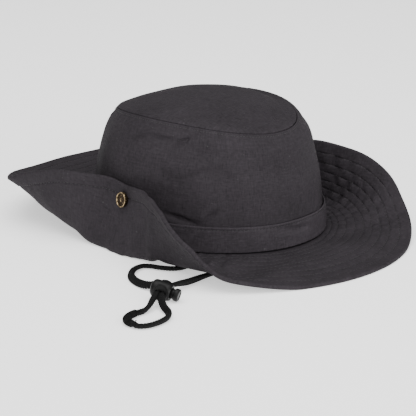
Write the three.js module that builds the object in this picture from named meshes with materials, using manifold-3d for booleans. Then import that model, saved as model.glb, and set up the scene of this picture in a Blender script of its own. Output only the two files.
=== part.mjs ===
// A wide-brimmed oilskin hat with both sides of its brim snapped up, resting on a flat surface.
// Millimetres, +Z up. The surface is z = 0, the hat's front faces -Y and the wearer's right is -X.
import * as THREE from 'three';
import { mergeVertices } from 'three/addons/utils/BufferGeometryUtils.js';
import Module from 'manifold-3d';

// Driving dimensions of the crown and its foot
const HEAD_LENGTH = 200;
const HEAD_WIDTH = 170;
const SEAM_HEIGHT = 6;
const CLOTH = 2;
const GAP = 0.4;
const BAND_CLOTH = 1.6;
const BAND_HEIGHT = 20;
const CROWN_HEIGHT = 92;
const TIP_DOME = 9;
const TIP_ROUNDING = 2.4;

// Driving dimensions of the brim and its snaps
const BRIM_WIDTH = 69;
const BRIM_BACK_EXTRA = 3.4;
const BRIM_CLOTH = 3;
const BRIM_INSET = 2.2;
const SNAP_FROM_EDGE = 11.5;
const SNAP_ANGLE = 1;
const SNAP_PULL = 8;
const SNAP_PULL_LENGTH = 42;
const SNAP_PULL_WIDTH = 30;
const SNAP_RADIUS = 6;
const SNAP_HEIGHT = 3;
const SNAP_STANDOFF = 1.6;
const POST_RADIUS = 4;

// Driving dimensions of the chin cord, its tabs, its joint and its lock
const CORD_DIAMETER = 3.6;
const CORD_SIDES = 8;
const CORD_STEP = 9.5;
const JOINT_DIAMETER = 5.2;
const TAB_WIDTH = 12;
const TAB_HEIGHT = 13;
const TAB_CLOTH = 3.2;
const TAB_FOOT = 11.2;
const LOCK_RADIUS = 6.8;
const LOCK_COLLAR_RADIUS = 5.8;
const LOCK_COLLAR_LENGTH = 14.6;
const LOCK_HOLE_LENGTH = 8.1;
const LOCK_HOLE_HEIGHT = 4.4;
const LOCK_BORE_RADIUS = 4.1;
const LOCK_BORE_DEPTH = 7.6;
const LOCK_MOUTH = 6.6;
const PLUNGER_RADIUS = 3.7;
const PLUNGER_FOOT = 5.3;
const PLUNGER_TRAVEL = 2;
const BUTTON_RADIUS = 4.7;
const BUTTON_HEIGHT = 3.6;

// Height of the crown's lower edge, on the brim
const CROWN_FOOT = SEAM_HEIGHT + BRIM_CLOTH / 2 + 2 * GAP;

// How finely the cloth is faceted
const CROWN_COLUMNS = 60;
const BRIM_COLUMNS = 76;
const BRIM_ROWS = 15;
const TIP_RINGS = 5;

// Crown sections from the foot up: height above the seam, half sizes, shift to the back, and how far
// the front and back ends droop below the sides
const CROWN_SECTIONS = [
  { height: 0, halfLength: 99.5, halfWidth: 84.5, back: 0, frontDroop: 0, backDroop: 0 },
  { height: 20, halfLength: 98.5, halfWidth: 82.5, back: 0, frontDroop: 0, backDroop: 0 },
  { height: 45, halfLength: 96.5, halfWidth: 79, back: 0.6, frontDroop: 1, backDroop: 1 },
  { height: 68, halfLength: 92, halfWidth: 73.5, back: 0.7, frontDroop: 4.2, backDroop: 2.6 },
  { height: 82, halfLength: 87.7, halfWidth: 69, back: -0.5, frontDroop: 6.5, backDroop: 5.3 },
  { height: 92, halfLength: 80.8, halfWidth: 63, back: -0.2, frontDroop: 8, backDroop: 10 },
];

// Shallow dents in the crown: where round it (0 is +X, 90 the back), how high, how wide and how deep
const CROWN_DENTS = [
  { angle: 206, height: 74, spreadAngle: 22, spreadHeight: 12, depth: 3.5 },
  { angle: 272, height: 13, spreadAngle: 14, spreadHeight: 12, depth: 2 },
  { angle: 35, height: 60, spreadAngle: 24, spreadHeight: 22, depth: 3 },
];

// Brim sections from front to back, one half. start is the height of the section's inner end,
// slopeIn its slope there and slopeOut at the edge, and the roll between them is centred at rollAt
// with rollHalf of cloth on each side, both measured across the flat cloth from the hat's middle.
const BRIM_SECTIONS = [
  { y: -172, start: 1.2, slopeIn: 0, slopeOut: 0, rollAt: 70, rollHalf: 40 },
  { y: -154, start: 1.3, slopeIn: 0, slopeOut: 12, rollAt: 76, rollHalf: 36 },
  { y: -128, start: 5.6, slopeIn: 0, slopeOut: 21, rollAt: 92, rollHalf: 32 },
  { y: -108, start: 5.4, slopeIn: 0, slopeOut: 41, rollAt: 94, rollHalf: 28 },
  { y: -88, start: 6, slopeIn: 4, slopeOut: 55, rollAt: 97, rollHalf: 24 },
  { y: -60, start: 6.3, slopeIn: 1.5, slopeOut: 76.5, rollAt: 99, rollHalf: 18 },
  { y: -30, start: 6, slopeIn: -17, slopeOut: 85, rollAt: 97, rollHalf: 12 },
  { y: 0, start: 6, slopeIn: -42, slopeOut: 98, rollAt: 100, rollHalf: 10 },
  { y: 30, start: 6, slopeIn: -40, slopeOut: 97, rollAt: 96, rollHalf: 11 },
  { y: 55, start: 6, slopeIn: -6, slopeOut: 83, rollAt: 95, rollHalf: 18 },
  { y: 80, start: 6, slopeIn: 2, slopeOut: 83, rollAt: 96, rollHalf: 30 },
  { y: 100, start: 5.9, slopeIn: 2, slopeOut: 73, rollAt: 91, rollHalf: 42 },
  { y: 125, start: 14, slopeIn: 7, slopeOut: 37.5, rollAt: 87, rollHalf: 46 },
  { y: 150, start: 19.2, slopeIn: 4, slopeOut: 33.6, rollAt: 70, rollHalf: 55 },
  { y: 172, start: 24.5, slopeIn: 0, slopeOut: 26, rollAt: 50, rollHalf: 50 },
];

// The right side of the brim differs from the table round some places along the hat: each row is a place,
// how far it reaches and what it adds there. The side opens towards the front, turns up in a tighter roll
// and leaves a low way for the chin cord.
const RIGHT_CHANGES = [
  { y: -70, half: 27, slopeIn: 0, slopeOut: -5.8, rollAt: 0, rollHalf: 0 },
  { y: -19.5, half: 10.5, slopeIn: 0, slopeOut: -3.3, rollAt: 0, rollHalf: 0 },
  { y: -71, half: 39, slopeIn: -3.7, slopeOut: 0, rollAt: -1.7, rollHalf: -25 },
  { y: -41, half: 7.2, slopeIn: 9.4, slopeOut: 0, rollAt: 2.1, rollHalf: 0 },
];
const TIGHTEST_ROLL = 5;

// Middle of the lock's body, and how its plunger's axis is turned about Z and dips below level
const LOCK_CENTRE = new THREE.Vector3(-146.5, -97.5, 7.5);
const LOCK_YAW = THREE.MathUtils.degToRad(-65);
const LOCK_DIP = THREE.MathUtils.degToRad(13);

// The chin cord's route on each side, from its tab to the joint: it drops to the surface, comes out
// under the brim, goes through the lock beside the other strand and runs on to the joint
const RIGHT_CORD_ROUTE = [
  [-79.9, 0, 10.3], [-79.9, 0.8, 8], [-79.6, 3.6, 4.8], [-78.6, 9, 2.4], [-75.5, 17, 1.9], [-69, 27, 1.9],
  [-57, 33.5, 1.9], [-44, 31, 1.9],
  [-36, 18, 1.9], [-37, 1, 1.9], [-46, -20, 1.9], [-59, -40, 1.9], [-71, -54, 1.9], [-82, -60.5, 1.9],
  [-91, -61.5, 1.9], [-98, -57.3, 1.9], [-102.6, -48.5, 1.9], [-104.5, -42.2, 1.9],
  [-108.5, -37.4, 1.9], [-116.5, -37.6, 1.9], [-126, -43.4, 1.9], [-132, -49.6, 1.9],
  [-136.2, -57, 2], [-138.6, -65, 2.3], [-139, -73, 3.2], [-136.9, -80.4, 4.9],
  [-134.6, -86.6, 7], [-137, -91, 7.9], [-141.5, -93.1, 7.9], [-147.3, -95.8, 7.9], [-154.5, -99.2, 7.9],
  [-161.5, -102.8, 6.2], [-169, -106.5, 3.6], [-176, -108.1, 2.1], [-181, -107.7, 1.9],
];
const LEFT_CORD_ROUTE = [
  [79.9, 0, 10.3], [79.9, -0.8, 8], [79.6, -3.6, 4.8], [78.6, -9, 2.4], [73, -26, 1.9], [62, -44, 1.9],
  [42, -62, 1.9],
  [15, -74.5, 1.9], [-15, -81.5, 1.9], [-45, -85.5, 1.9], [-70, -86.6, 1.9], [-90, -87, 1.9],
  [-103.5, -88.3, 2.2], [-114.5, -89.6, 3.1], [-124, -90.6, 4.8], [-132, -92.8, 6.4], [-140.3, -96.7, 7.1],
  [-145.7, -99.2, 7.1], [-153, -102.6, 7.1], [-158, -107.5, 5.6], [-162.5, -114.5, 3.4],
  [-165.7, -122, 2], [-172, -128.4, 1.9], [-182, -131.2, 1.9], [-192, -130.4, 1.9], [-197.4, -127.2, 1.9],
  [-199.3, -123.3, 1.9],
];
const JOINT_ROUTE = [
  [-181.5, -107.6, 2.7], [-188, -107.9, 2.7], [-194.5, -110.8, 2.7], [-198.4, -116, 2.7],
  [-199.2, -122.2, 2.7],
];

const CLOTH_FINISH = { color: 0x3c3a3c, roughness: 0.85, metalness: 0 };
const BRASS_FINISH = { color: 0x8a744c, roughness: 0.4, metalness: 1 };
const CORD_FINISH = { color: 0x141414, roughness: 0.9, metalness: 0 };
const PLASTIC_FINISH = { color: 0x1c1c1d, roughness: 0.5, metalness: 0 };

const wasm = await Module();
wasm.setup();

const group = new THREE.Group();

/** Adds one named piece to the hat. */
function addPiece(name, geometry, finish, parent = group) {
  const mesh = new THREE.Mesh(geometry, new THREE.MeshStandardMaterial(finish));
  mesh.name = name;
  parent.add(mesh);
  return mesh;
}

/** Slope-matched cubic through the rows of a table, for the column named key at place x. */
function columnAt(rows, axis, key, x) {
  const last = rows.length - 1;
  let k = 0;
  while (k < last - 1 && x > rows[k + 1][axis]) k += 1;
  const [a, b] = [rows[k], rows[k + 1]];
  const [before, after] = [rows[Math.max(k - 1, 0)], rows[Math.min(k + 2, last)]];
  const span = b[axis] - a[axis];
  const t = THREE.MathUtils.clamp((x - a[axis]) / span, 0, 1);
  const tangentA = ((b[key] - before[key]) / (b[axis] - before[axis])) * span;
  const tangentB = ((after[key] - a[key]) / (after[axis] - a[axis])) * span;
  const t2 = t * t;
  const t3 = t2 * t;
  return (2 * t3 - 3 * t2 + 1) * a[key] + (t3 - 2 * t2 + t) * tangentA
    + (3 * t2 - 2 * t3) * b[key] + (t3 - t2) * tangentB;
}

/** Body made of closed loops of points, each joined to the next and the last to the first. */
function ringGeometry(loops) {
  const size = loops[0].length;
  const index = [];
  loops.forEach((loop, i) => {
    const next = (i + 1) % loops.length;
    for (let j = 0; j < size; j += 1) {
      const up = (j + 1) % size;
      const [a, b, c, d] = [i * size + j, next * size + j, next * size + up, i * size + up];
      index.push(a, b, c, a, c, d);
    }
  });
  return indexed(loops.flat(), index);
}

/** Body made of rings of points stacked from a first pole to a last one. */
function capGeometry(firstPole, rings, lastPole) {
  const size = rings[0].length;
  const points = [firstPole, ...rings.flat(), lastPole];
  const end = points.length - 1;
  const index = [];
  for (let j = 0; j < size; j += 1) {
    const next = (j + 1) % size;
    index.push(0, 1 + j, 1 + next);
    for (let i = 0; i < rings.length - 1; i += 1) {
      const [low, high] = [1 + i * size, 1 + (i + 1) * size];
      index.push(low + j, high + j, high + next, low + j, high + next, low + next);
    }
    const top = 1 + (rings.length - 1) * size;
    index.push(top + j, end, top + next);
  }
  return indexed(points, index);
}

/** Indexed geometry, turned right side out if its volume comes out negative. */
function indexed(points, index) {
  let volume = 0;
  for (let k = 0; k < index.length; k += 3) {
    const [a, b, c] = [points[index[k]], points[index[k + 1]], points[index[k + 2]]];
    volume += a.dot(new THREE.Vector3().crossVectors(b, c));
  }
  const facing = volume < 0 ? [...index].reverse() : index;
  const geometry = new THREE.BufferGeometry().setFromPoints(points);
  geometry.setIndex(facing);
  return geometry;
}

/** Solid for cutting and joining, from a closed geometry. */
function solidOf(geometry) {
  const bare = new THREE.BufferGeometry();
  bare.setAttribute('position', geometry.getAttribute('position').clone());
  if (geometry.index) bare.setIndex(geometry.index.clone());
  const merged = mergeVertices(bare, 1e-4);
  return new wasm.Manifold(new wasm.Mesh({
    numProp: 3,
    vertProperties: new Float32Array(merged.getAttribute('position').array),
    triVerts: new Uint32Array(merged.index.array),
  }));
}

/** Geometry of a cut or joined solid. */
function geometryOf(solid) {
  const mesh = solid.getMesh();
  const geometry = new THREE.BufferGeometry();
  geometry.setAttribute('position', new THREE.BufferAttribute(new Float32Array(mesh.vertProperties), 3));
  geometry.setIndex(new THREE.BufferAttribute(new Uint32Array(mesh.triVerts), 1));
  return geometry;
}

/** Solid turned about Z from a profile of [radius, height] pairs. */
function turned(profile, segments) {
  const outline = profile.map(([radius, height]) => new THREE.Vector2(radius, height));
  return new THREE.LatheGeometry(outline, segments).rotateX(Math.PI / 2);
}

// Crown

/** How far the dents push the crown in at a place on it. */
function dentDepth(angle, height) {
  let depth = 0;
  for (const dent of CROWN_DENTS) {
    const turn = THREE.MathUtils.euclideanModulo(angle - dent.angle + 180, 360) - 180;
    depth += dent.depth * Math.exp(-((turn / dent.spreadAngle) ** 2)
      - ((height - dent.height) / dent.spreadHeight) ** 2);
  }
  return depth;
}

/** Point of the crown's side, a distance inside its outer face. */
function crownPoint(angle, height, inside) {
  const at = (key) => columnAt(CROWN_SECTIONS, 'height', key, height);
  const inward = inside + dentDepth(angle, height);
  const radians = THREE.MathUtils.degToRad(angle);
  const x = (at('halfWidth') - inward) * Math.cos(radians);
  const y = (at('halfLength') - inward) * Math.sin(radians) + at('back');
  const droop = at(Math.sin(radians) < 0 ? 'frontDroop' : 'backDroop') * Math.sin(radians) ** 2;
  return new THREE.Vector3(x, y, CROWN_FOOT + height - droop);
}

/** Ring-shaped wall of the crown between two heights, given its outer and inner faces. */
function crownWall(heights, outerFace, innerFace) {
  const loops = [];
  for (let i = 0; i < CROWN_COLUMNS; i += 1) {
    const angle = (360 * i) / CROWN_COLUMNS;
    const outside = heights.map((height) => crownPoint(angle, height, outerFace));
    const inside = heights.map((height) => crownPoint(angle, height, innerFace)).reverse();
    loops.push([...outside, ...inside]);
  }
  return ringGeometry(loops);
}

/** Domed oval panel that closes the crown: its rim follows the side wall's top. */
function crownTip() {
  const top = CROWN_SECTIONS.at(-1);
  const peak = CROWN_FOOT + CROWN_HEIGHT + GAP;
  const pole = (lift) => new THREE.Vector3(0, top.back, peak + TIP_DOME + lift);
  const ring = (share, lift) => Array.from({ length: CROWN_COLUMNS }, (_, i) => {
    const rim = crownPoint((360 * i) / CROWN_COLUMNS, CROWN_HEIGHT, 0);
    const droop = (CROWN_FOOT + CROWN_HEIGHT - rim.z) * share ** 2;
    const dome = TIP_DOME * (1 - share ** TIP_ROUNDING);
    const along = top.back + (rim.y - top.back) * share;
    return new THREE.Vector3(rim.x * share, along, peak - droop + dome + lift);
  });
  const quarter = Math.PI / 2;
  const shares = Array.from({ length: TIP_RINGS }, (_, i) => Math.sin((quarter * (i + 1)) / TIP_RINGS));
  const over = shares.map((share) => ring(share, CLOTH));
  const under = shares.map((share) => ring(share, 0)).reverse();
  return capGeometry(pole(CLOTH), [...over, ...under], pole(0));
}

const bandRows = [0, BAND_HEIGHT / 2, BAND_HEIGHT];
const upperRows = CROWN_SECTIONS.map((row) => row.height).filter((height) => height > BAND_HEIGHT);
addPiece('crown_side', crownWall([...bandRows, ...upperRows], 0, CLOTH), CLOTH_FINISH);
addPiece('crown_band', crownWall(bandRows, -GAP - BAND_CLOTH, -GAP), CLOTH_FINISH);
addPiece('crown_tip', crownTip(), CLOTH_FINISH);

// Brim

/** Half width of the head seam at a place along the hat, none past its ends. */
function seamHalfWidth(y) {
  const share = 1 - (y / (HEAD_LENGTH / 2)) ** 2;
  return share > 0 ? (HEAD_WIDTH / 2) * Math.sqrt(share) : 0;
}

/** Point of the flat cloth, at an angle round the head seam and a distance outside it. */
function flatBrimPoint(angle, offset) {
  const radians = THREE.MathUtils.degToRad(angle);
  const [halfWidth, halfLength] = [HEAD_WIDTH / 2, HEAD_LENGTH / 2];
  const [cos, sin] = [Math.cos(radians), Math.sin(radians)];
  const across = new THREE.Vector2(halfLength * cos, halfWidth * sin).normalize();
  return new THREE.Vector2(halfWidth * cos, halfLength * sin).addScaledVector(across, offset);
}

/** Width of the brim at an angle round the head seam: it is a little wider behind. */
function brimWidth(angle) {
  return BRIM_WIDTH + BRIM_BACK_EXTRA * Math.max(Math.sin(THREE.MathUtils.degToRad(angle)), 0) ** 2;
}

/** Middle of the bent cloth for a point of the flat cloth: it rolls up along each side of the hat. */
function bentBrimPoint(flat) {
  const side = flat.x < 0 ? -1 : 1;
  const reach = Math.abs(flat.x);
  const at = (key) => columnAt(BRIM_SECTIONS, 'y', key, flat.y);
  const near = ({ y, half }) => Math.exp(-(((flat.y - y) / half) ** 2));
  const changes = side < 0 ? RIGHT_CHANGES : [];
  const value = (key) => changes.reduce((sum, change) => sum + change[key] * near(change), at(key));
  const [slopeIn, slopeOut, rollAt] = [value('slopeIn'), value('slopeOut'), value('rollAt')];
  const rollHalf = Math.max(value('rollHalf'), TIGHTEST_ROLL);
  const seam = seamHalfWidth(flat.y);
  let x = Math.min(reach, seam);
  let z = at('start');
  const steps = 40;
  const step = Math.max(reach - seam, 0) / steps;
  for (let i = 0; i < steps; i += 1) {
    const place = seam + (i + 0.5) * step;
    const turn = THREE.MathUtils.smoothstep(place, rollAt - rollHalf, rollAt + rollHalf);
    const slope = THREE.MathUtils.degToRad(slopeIn + (slopeOut - slopeIn) * turn);
    x += step * Math.cos(slope);
    z += step * Math.sin(slope);
  }
  const snap = flatBrimPoint(SNAP_ANGLE, BRIM_WIDTH - SNAP_FROM_EDGE);
  const pull = SNAP_PULL * Math.exp(-(((flat.y - snap.y) / SNAP_PULL_LENGTH) ** 2)
    - ((reach - snap.x) / SNAP_PULL_WIDTH) ** 2);
  return new THREE.Vector3(side * (x - pull), flat.y, z);
}

/** Point of the brim's upper face (side 1) or lower face (side -1), flattened where it rests. */
function brimPoint(angle, offset, side, clearance = 0) {
  const flat = flatBrimPoint(angle, offset);
  const nudge = 0.5;
  const along = (dx, dy) => bentBrimPoint(new THREE.Vector2(flat.x + dx, flat.y + dy));
  const acrossX = along(nudge, 0).sub(along(-nudge, 0));
  const acrossY = along(0, nudge).sub(along(0, -nudge));
  const normal = acrossX.cross(acrossY).normalize();
  const point = bentBrimPoint(flat).addScaledVector(normal, side * (BRIM_CLOTH / 2 + clearance));
  point.z = Math.max(point.z, side > 0 ? BRIM_CLOTH : 0);
  return { point, normal: normal.multiplyScalar(side) };
}

/** Distances from the seam to the brim's rows, closer together where the sides roll up. */
function brimOffsets(angle) {
  const bunching = 1 + 0.35 * Math.cos(THREE.MathUtils.degToRad(angle)) ** 2;
  return Array.from({ length: BRIM_ROWS }, (_, j) => {
    const share = (j / (BRIM_ROWS - 1)) ** bunching;
    return -BRIM_INSET + (brimWidth(angle) + BRIM_INSET) * share;
  });
}

/** The whole brim: its upper face out to the edge and its lower face back. */
function brimGeometry() {
  const loops = [];
  for (let i = 0; i < BRIM_COLUMNS; i += 1) {
    const angle = (360 * i) / BRIM_COLUMNS;
    const offsets = brimOffsets(angle);
    const upper = offsets.map((offset) => brimPoint(angle, offset, 1).point);
    const lower = offsets.map((offset) => brimPoint(angle, offset, -1).point).reverse();
    loops.push([...upper, ...lower]);
  }
  return ringGeometry(loops);
}

addPiece('brim', brimGeometry(), CLOTH_FINISH);

// Snaps

/** Turns a piece made along +Z to point along a direction, with its foot at a point. */
function standOn(geometry, point, direction) {
  const turn = new THREE.Quaternion().setFromUnitVectors(new THREE.Vector3(0, 0, 1), direction);
  return geometry.applyQuaternion(turn).translate(point.x, point.y, point.z);
}

/** Snap cap with a raised rim and a low boss in its middle. */
function snapCap() {
  const [rim, groove, boss] = [SNAP_RADIUS, SNAP_RADIUS * 0.78, SNAP_RADIUS * 0.5];
  return turned([
    [0, 0], [rim, 0], [rim, SNAP_HEIGHT * 0.45], [rim * 0.9, SNAP_HEIGHT * 0.8],
    [groove, SNAP_HEIGHT * 0.62], [boss, SNAP_HEIGHT * 0.75], [boss * 0.4, SNAP_HEIGHT], [0, SNAP_HEIGHT],
  ], 20);
}

/** Hidden half of a snap: a plain post from the crown's outer face to the flap's inner one. */
function snapPost(flapFace, direction) {
  const height = flapFace.z - CROWN_FOOT;
  const halfLength = columnAt(CROWN_SECTIONS, 'height', 'halfLength', height);
  const angle = THREE.MathUtils.radToDeg(Math.asin(flapFace.y / halfLength));
  const wall = crownPoint(direction > 0 ? angle : 180 - angle, height, 0);
  const [from, to] = [Math.abs(wall.x) + 2 * GAP, Math.abs(flapFace.x) - 3 * GAP];
  const post = turned([[0, 0], [POST_RADIUS, 0], [POST_RADIUS, to - from], [0, to - from]], 16);
  const foot = new THREE.Vector3(direction * from, flapFace.y, flapFace.z);
  return standOn(post, foot, new THREE.Vector3(direction, 0, 0));
}

for (const [side, direction] of [['right', -1], ['left', 1]]) {
  const angle = direction > 0 ? SNAP_ANGLE : 180 - SNAP_ANGLE;
  const offset = BRIM_WIDTH - SNAP_FROM_EDGE;
  const outside = brimPoint(angle, offset, -1, SNAP_STANDOFF);
  addPiece(`snap_cap_${side}`, standOn(snapCap(), outside.point, outside.normal), BRASS_FINISH);
  const inside = brimPoint(angle, offset, 1).point;
  addPiece(`snap_post_${side}`, snapPost(inside, direction), BRASS_FINISH);
}

// Chin cord

/** Rounded plate in the YZ plane, a thickness deep along +X. */
function roundedPlate(width, height, corner, thickness) {
  const [w, h] = [width / 2, height / 2];
  const shape = new THREE.Shape()
    .moveTo(-w + corner, -h).lineTo(w - corner, -h).absarc(w - corner, -h + corner, corner, -Math.PI / 2, 0)
    .lineTo(w, h - corner).absarc(w - corner, h - corner, corner, 0, Math.PI / 2)
    .lineTo(-w + corner, h).absarc(-w + corner, h - corner, corner, Math.PI / 2, Math.PI)
    .lineTo(-w, -h + corner).absarc(-w + corner, -h + corner, corner, Math.PI, 1.5 * Math.PI);
  const settings = { depth: thickness, bevelEnabled: false, curveSegments: 4 };
  const plate = new THREE.ExtrudeGeometry(shape, settings);
  return plate.rotateX(Math.PI / 2).rotateZ(Math.PI / 2);
}

/** Plain tube along a route of points. */
function tube(route, diameter, sides) {
  const points = route.map((point) => new THREE.Vector3(...point));
  const curve = new THREE.CatmullRomCurve3(points, false, 'centripetal');
  const section = new THREE.Shape(Array.from({ length: sides }, (_, i) => {
    const turn = (2 * Math.PI * (i + 0.5)) / sides;
    return new THREE.Vector2(Math.cos(turn), Math.sin(turn)).multiplyScalar(diameter / 2);
  }));
  const steps = Math.ceil(curve.getLength() / CORD_STEP);
  return new THREE.ExtrudeGeometry(section, { steps: Math.max(steps, route.length), extrudePath: curve });
}

for (const [side, direction] of [['right', -1], ['left', 1]]) {
  const wall = crownPoint(direction > 0 ? 0 : 180, TAB_FOOT + TAB_HEIGHT - CROWN_FOOT, CLOTH + GAP);
  const middle = Math.abs(wall.x) - TAB_CLOTH;
  const tab = roundedPlate(TAB_WIDTH, TAB_HEIGHT, 2, TAB_CLOTH);
  tab.translate(direction > 0 ? middle : -middle - TAB_CLOTH, 0, TAB_FOOT + TAB_HEIGHT / 2);
  addPiece(`cord_tab_${side}`, tab, CLOTH_FINISH);
}
addPiece('chin_cord_right', tube(RIGHT_CORD_ROUTE, CORD_DIAMETER, CORD_SIDES), CORD_FINISH);
addPiece('chin_cord_left', tube(LEFT_CORD_ROUTE, CORD_DIAMETER, CORD_SIDES), CORD_FINISH);
addPiece('cord_joint', tube(JOINT_ROUTE, JOINT_DIAMETER, 10), CORD_FINISH);

// Cord lock, made with its plunger along +X and the cord's hole along Y

/** Plain round bar along +X between two places. */
function barAlongX(radius, from, to, segments) {
  return turned([[0, from], [radius, from], [radius, to], [0, to]], segments).rotateY(Math.PI / 2);
}

/** Slot through the lock along Y for the two strands. */
function cordHole(from, to) {
  const slot = new THREE.BoxGeometry(to - from, 4 * LOCK_RADIUS, LOCK_HOLE_HEIGHT);
  return slot.translate((from + to) / 2, 0, 0);
}

/** Barrel of the lock: bored for the plunger and cut through for the cord, with a collar round the cut. */
function lockBody() {
  const end = LOCK_BORE_DEPTH + 1.3;
  const barrel = turned([
    [0, -end], [LOCK_RADIUS * 0.6, -end], [LOCK_RADIUS * 0.87, -end * 0.86],
    [LOCK_RADIUS * 0.985, -end * 0.5], [LOCK_RADIUS, 0], [LOCK_RADIUS * 0.96, LOCK_MOUTH * 0.6],
    [LOCK_RADIUS * 0.82, LOCK_MOUTH], [0, LOCK_MOUTH],
  ], 22).rotateY(Math.PI / 2);
  const half = LOCK_COLLAR_LENGTH / 2;
  const collar = turned([[0, -half], [LOCK_COLLAR_RADIUS, -half], [LOCK_COLLAR_RADIUS, half], [0, half]], 22)
    .rotateX(Math.PI / 2);
  return geometryOf(solidOf(barrel).add(solidOf(collar))
    .subtract(solidOf(barAlongX(LOCK_BORE_RADIUS, -LOCK_BORE_DEPTH, LOCK_MOUTH + 1, 18)))
    .subtract(solidOf(cordHole(-LOCK_HOLE_LENGTH / 2, LOCK_HOLE_LENGTH / 2))));
}

/** Plunger: a slotted stem, long enough in its slot to be pressed in, with a round button. */
function lockPlunger() {
  const neck = LOCK_MOUTH + PLUNGER_TRAVEL + GAP;
  const stem = barAlongX(PLUNGER_RADIUS, -PLUNGER_FOOT, neck + 1, 18);
  const button = turned([
    [0, neck], [BUTTON_RADIUS * 0.92, neck], [BUTTON_RADIUS, neck + 0.6],
    [BUTTON_RADIUS, neck + BUTTON_HEIGHT - 1], [BUTTON_RADIUS * 0.8, neck + BUTTON_HEIGHT],
    [0, neck + BUTTON_HEIGHT],
  ], 22).rotateY(Math.PI / 2);
  const slot = cordHole(-LOCK_HOLE_LENGTH / 2, LOCK_HOLE_LENGTH / 2 + PLUNGER_TRAVEL);
  return geometryOf(solidOf(stem).add(solidOf(button)).subtract(solidOf(slot)));
}

const cordLock = new THREE.Group();
cordLock.position.copy(LOCK_CENTRE);
cordLock.rotation.set(0, LOCK_DIP, LOCK_YAW, 'ZYX');
group.add(cordLock);
addPiece('cord_lock_body', lockBody(), PLASTIC_FINISH, cordLock);
addPiece('cord_lock_plunger', lockPlunger(), PLASTIC_FINISH, cordLock);

export default group;
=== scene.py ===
"""Looks of a wide-brimmed oilskin hat: its cloth and stitching, its snaps, its chin cord and its cord lock.

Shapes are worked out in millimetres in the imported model's frame (the hat's front faces -Y, +Z up) and put
into their meshes in metres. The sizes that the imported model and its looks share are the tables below.
"""

import logging
from dataclasses import dataclass, field
from enum import Enum
from typing import Callable

import bpy
import numpy as np
from mathutils import Matrix, Vector


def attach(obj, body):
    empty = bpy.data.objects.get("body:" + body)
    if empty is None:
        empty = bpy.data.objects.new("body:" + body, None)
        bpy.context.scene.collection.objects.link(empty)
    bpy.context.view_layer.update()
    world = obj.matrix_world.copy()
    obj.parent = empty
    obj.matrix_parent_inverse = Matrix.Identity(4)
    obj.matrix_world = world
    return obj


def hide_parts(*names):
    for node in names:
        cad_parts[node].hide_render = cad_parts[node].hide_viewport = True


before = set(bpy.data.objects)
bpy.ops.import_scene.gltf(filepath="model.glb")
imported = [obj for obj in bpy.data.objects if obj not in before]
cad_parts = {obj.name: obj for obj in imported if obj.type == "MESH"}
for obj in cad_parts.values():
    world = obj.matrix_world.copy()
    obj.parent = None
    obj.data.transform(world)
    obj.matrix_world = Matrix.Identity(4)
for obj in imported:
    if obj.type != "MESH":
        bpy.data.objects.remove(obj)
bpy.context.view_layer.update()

MM = 0.001
PICTURE_PX = 416
SENSOR_MM = 36.0
CLOTH_ORIGIN = 300.0
FINE_TURN = 0.5
NUDGE_TURN = 0.2
STITCH_SHARE = 0.78
ABOVE_FLOOR = 0.05
LOG = logging.getLogger("oilskin_hat")
Route = tuple[tuple[float, float, float], ...]


# Numbers and tables


@dataclass(frozen=True)
class SectionTable:
    """Rows of named columns along a first one, joined by cubics whose slopes match at each row."""

    columns: tuple[str, ...]
    rows: tuple[tuple[float, ...], ...]

    def column(self, name: str, place: np.ndarray) -> np.ndarray:
        """Value of a column between the rows.

        Args:
            name: the column.
            place: places along the first column.

        Returns:
            The value at each place: h00 a + h10 ta + h01 b + h11 tb, the Hermite cubic of the two rows
            round it with the slopes of their neighbours.
        """
        axis = np.array([row[0] for row in self.rows], float)
        value = np.array([row[self.columns.index(name)] for row in self.rows], float)
        last = len(axis) - 1
        k = np.clip(np.searchsorted(axis, place) - 1, 0, last - 1)
        before, after = np.maximum(k - 1, 0), np.minimum(k + 2, last)
        span = axis[k + 1] - axis[k]
        t = np.clip((place - axis[k]) / span, 0, 1)
        slope_a = (value[k + 1] - value[before]) / (axis[k + 1] - axis[before]) * span
        slope_b = (value[after] - value[k]) / (axis[after] - axis[k]) * span
        return (
            (2 * t**3 - 3 * t**2 + 1) * value[k]
            + (t**3 - 2 * t**2 + t) * slope_a
            + (3 * t**2 - 2 * t**3) * value[k + 1]
            + (t**3 - t**2) * slope_b
        )


@dataclass(frozen=True)
class Dent:
    """A shallow dent in the crown: where round it and how high, how wide, and how deep."""

    angle: float
    height: float
    spread_angle: float
    spread_height: float
    depth: float

    def depth_at(self, angle: np.ndarray, height: np.ndarray) -> np.ndarray:
        """Depth of the dent: depth * exp(-(da / spread)^2) * exp(-(dh / spread)^2)."""
        round_it = bump(turn_from(angle, self.angle), 0, self.spread_angle)
        return self.depth * round_it * bump(height, self.height, self.spread_height)


@dataclass(frozen=True)
class Crease:
    """A soft crease in the crown's cloth; a negative depth raises it instead.

    Its middle is at an angle and a height; it is drawn out along a line that rises by its tilt towards
    growing angles, and half_length and half_width are where its bell has fallen to 1/e.
    """

    angle: float
    height: float
    half_length: float
    half_width: float
    tilt: float
    depth: float
    radius: float = 80.0

    def depth_at(self, angle: np.ndarray, height: np.ndarray) -> np.ndarray:
        """Depth of the crease: d exp(-(along / l)^2) exp(-(across / w)^2).

        Args:
            angle: degrees round the crown.
            height: height above its foot.

        Returns:
            The depth at each place; degrees become millimetres by the crease's radius.
        """
        run = np.radians(turn_from(angle, self.angle)) * self.radius
        rise = height - self.height
        cos, sin = np.cos(np.radians(self.tilt)), np.sin(np.radians(self.tilt))
        along, across = run * cos + rise * sin, rise * cos - run * sin
        return self.depth * bump(along, 0, self.half_length) * bump(across, 0, self.half_width)


@dataclass(frozen=True)
class SideChange:
    """What the right side of the brim adds to its table round one place along the hat."""

    place: float
    half: float
    slope_in: float = 0.0
    slope_out: float = 0.0
    roll_at: float = 0.0
    roll_half: float = 0.0


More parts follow.
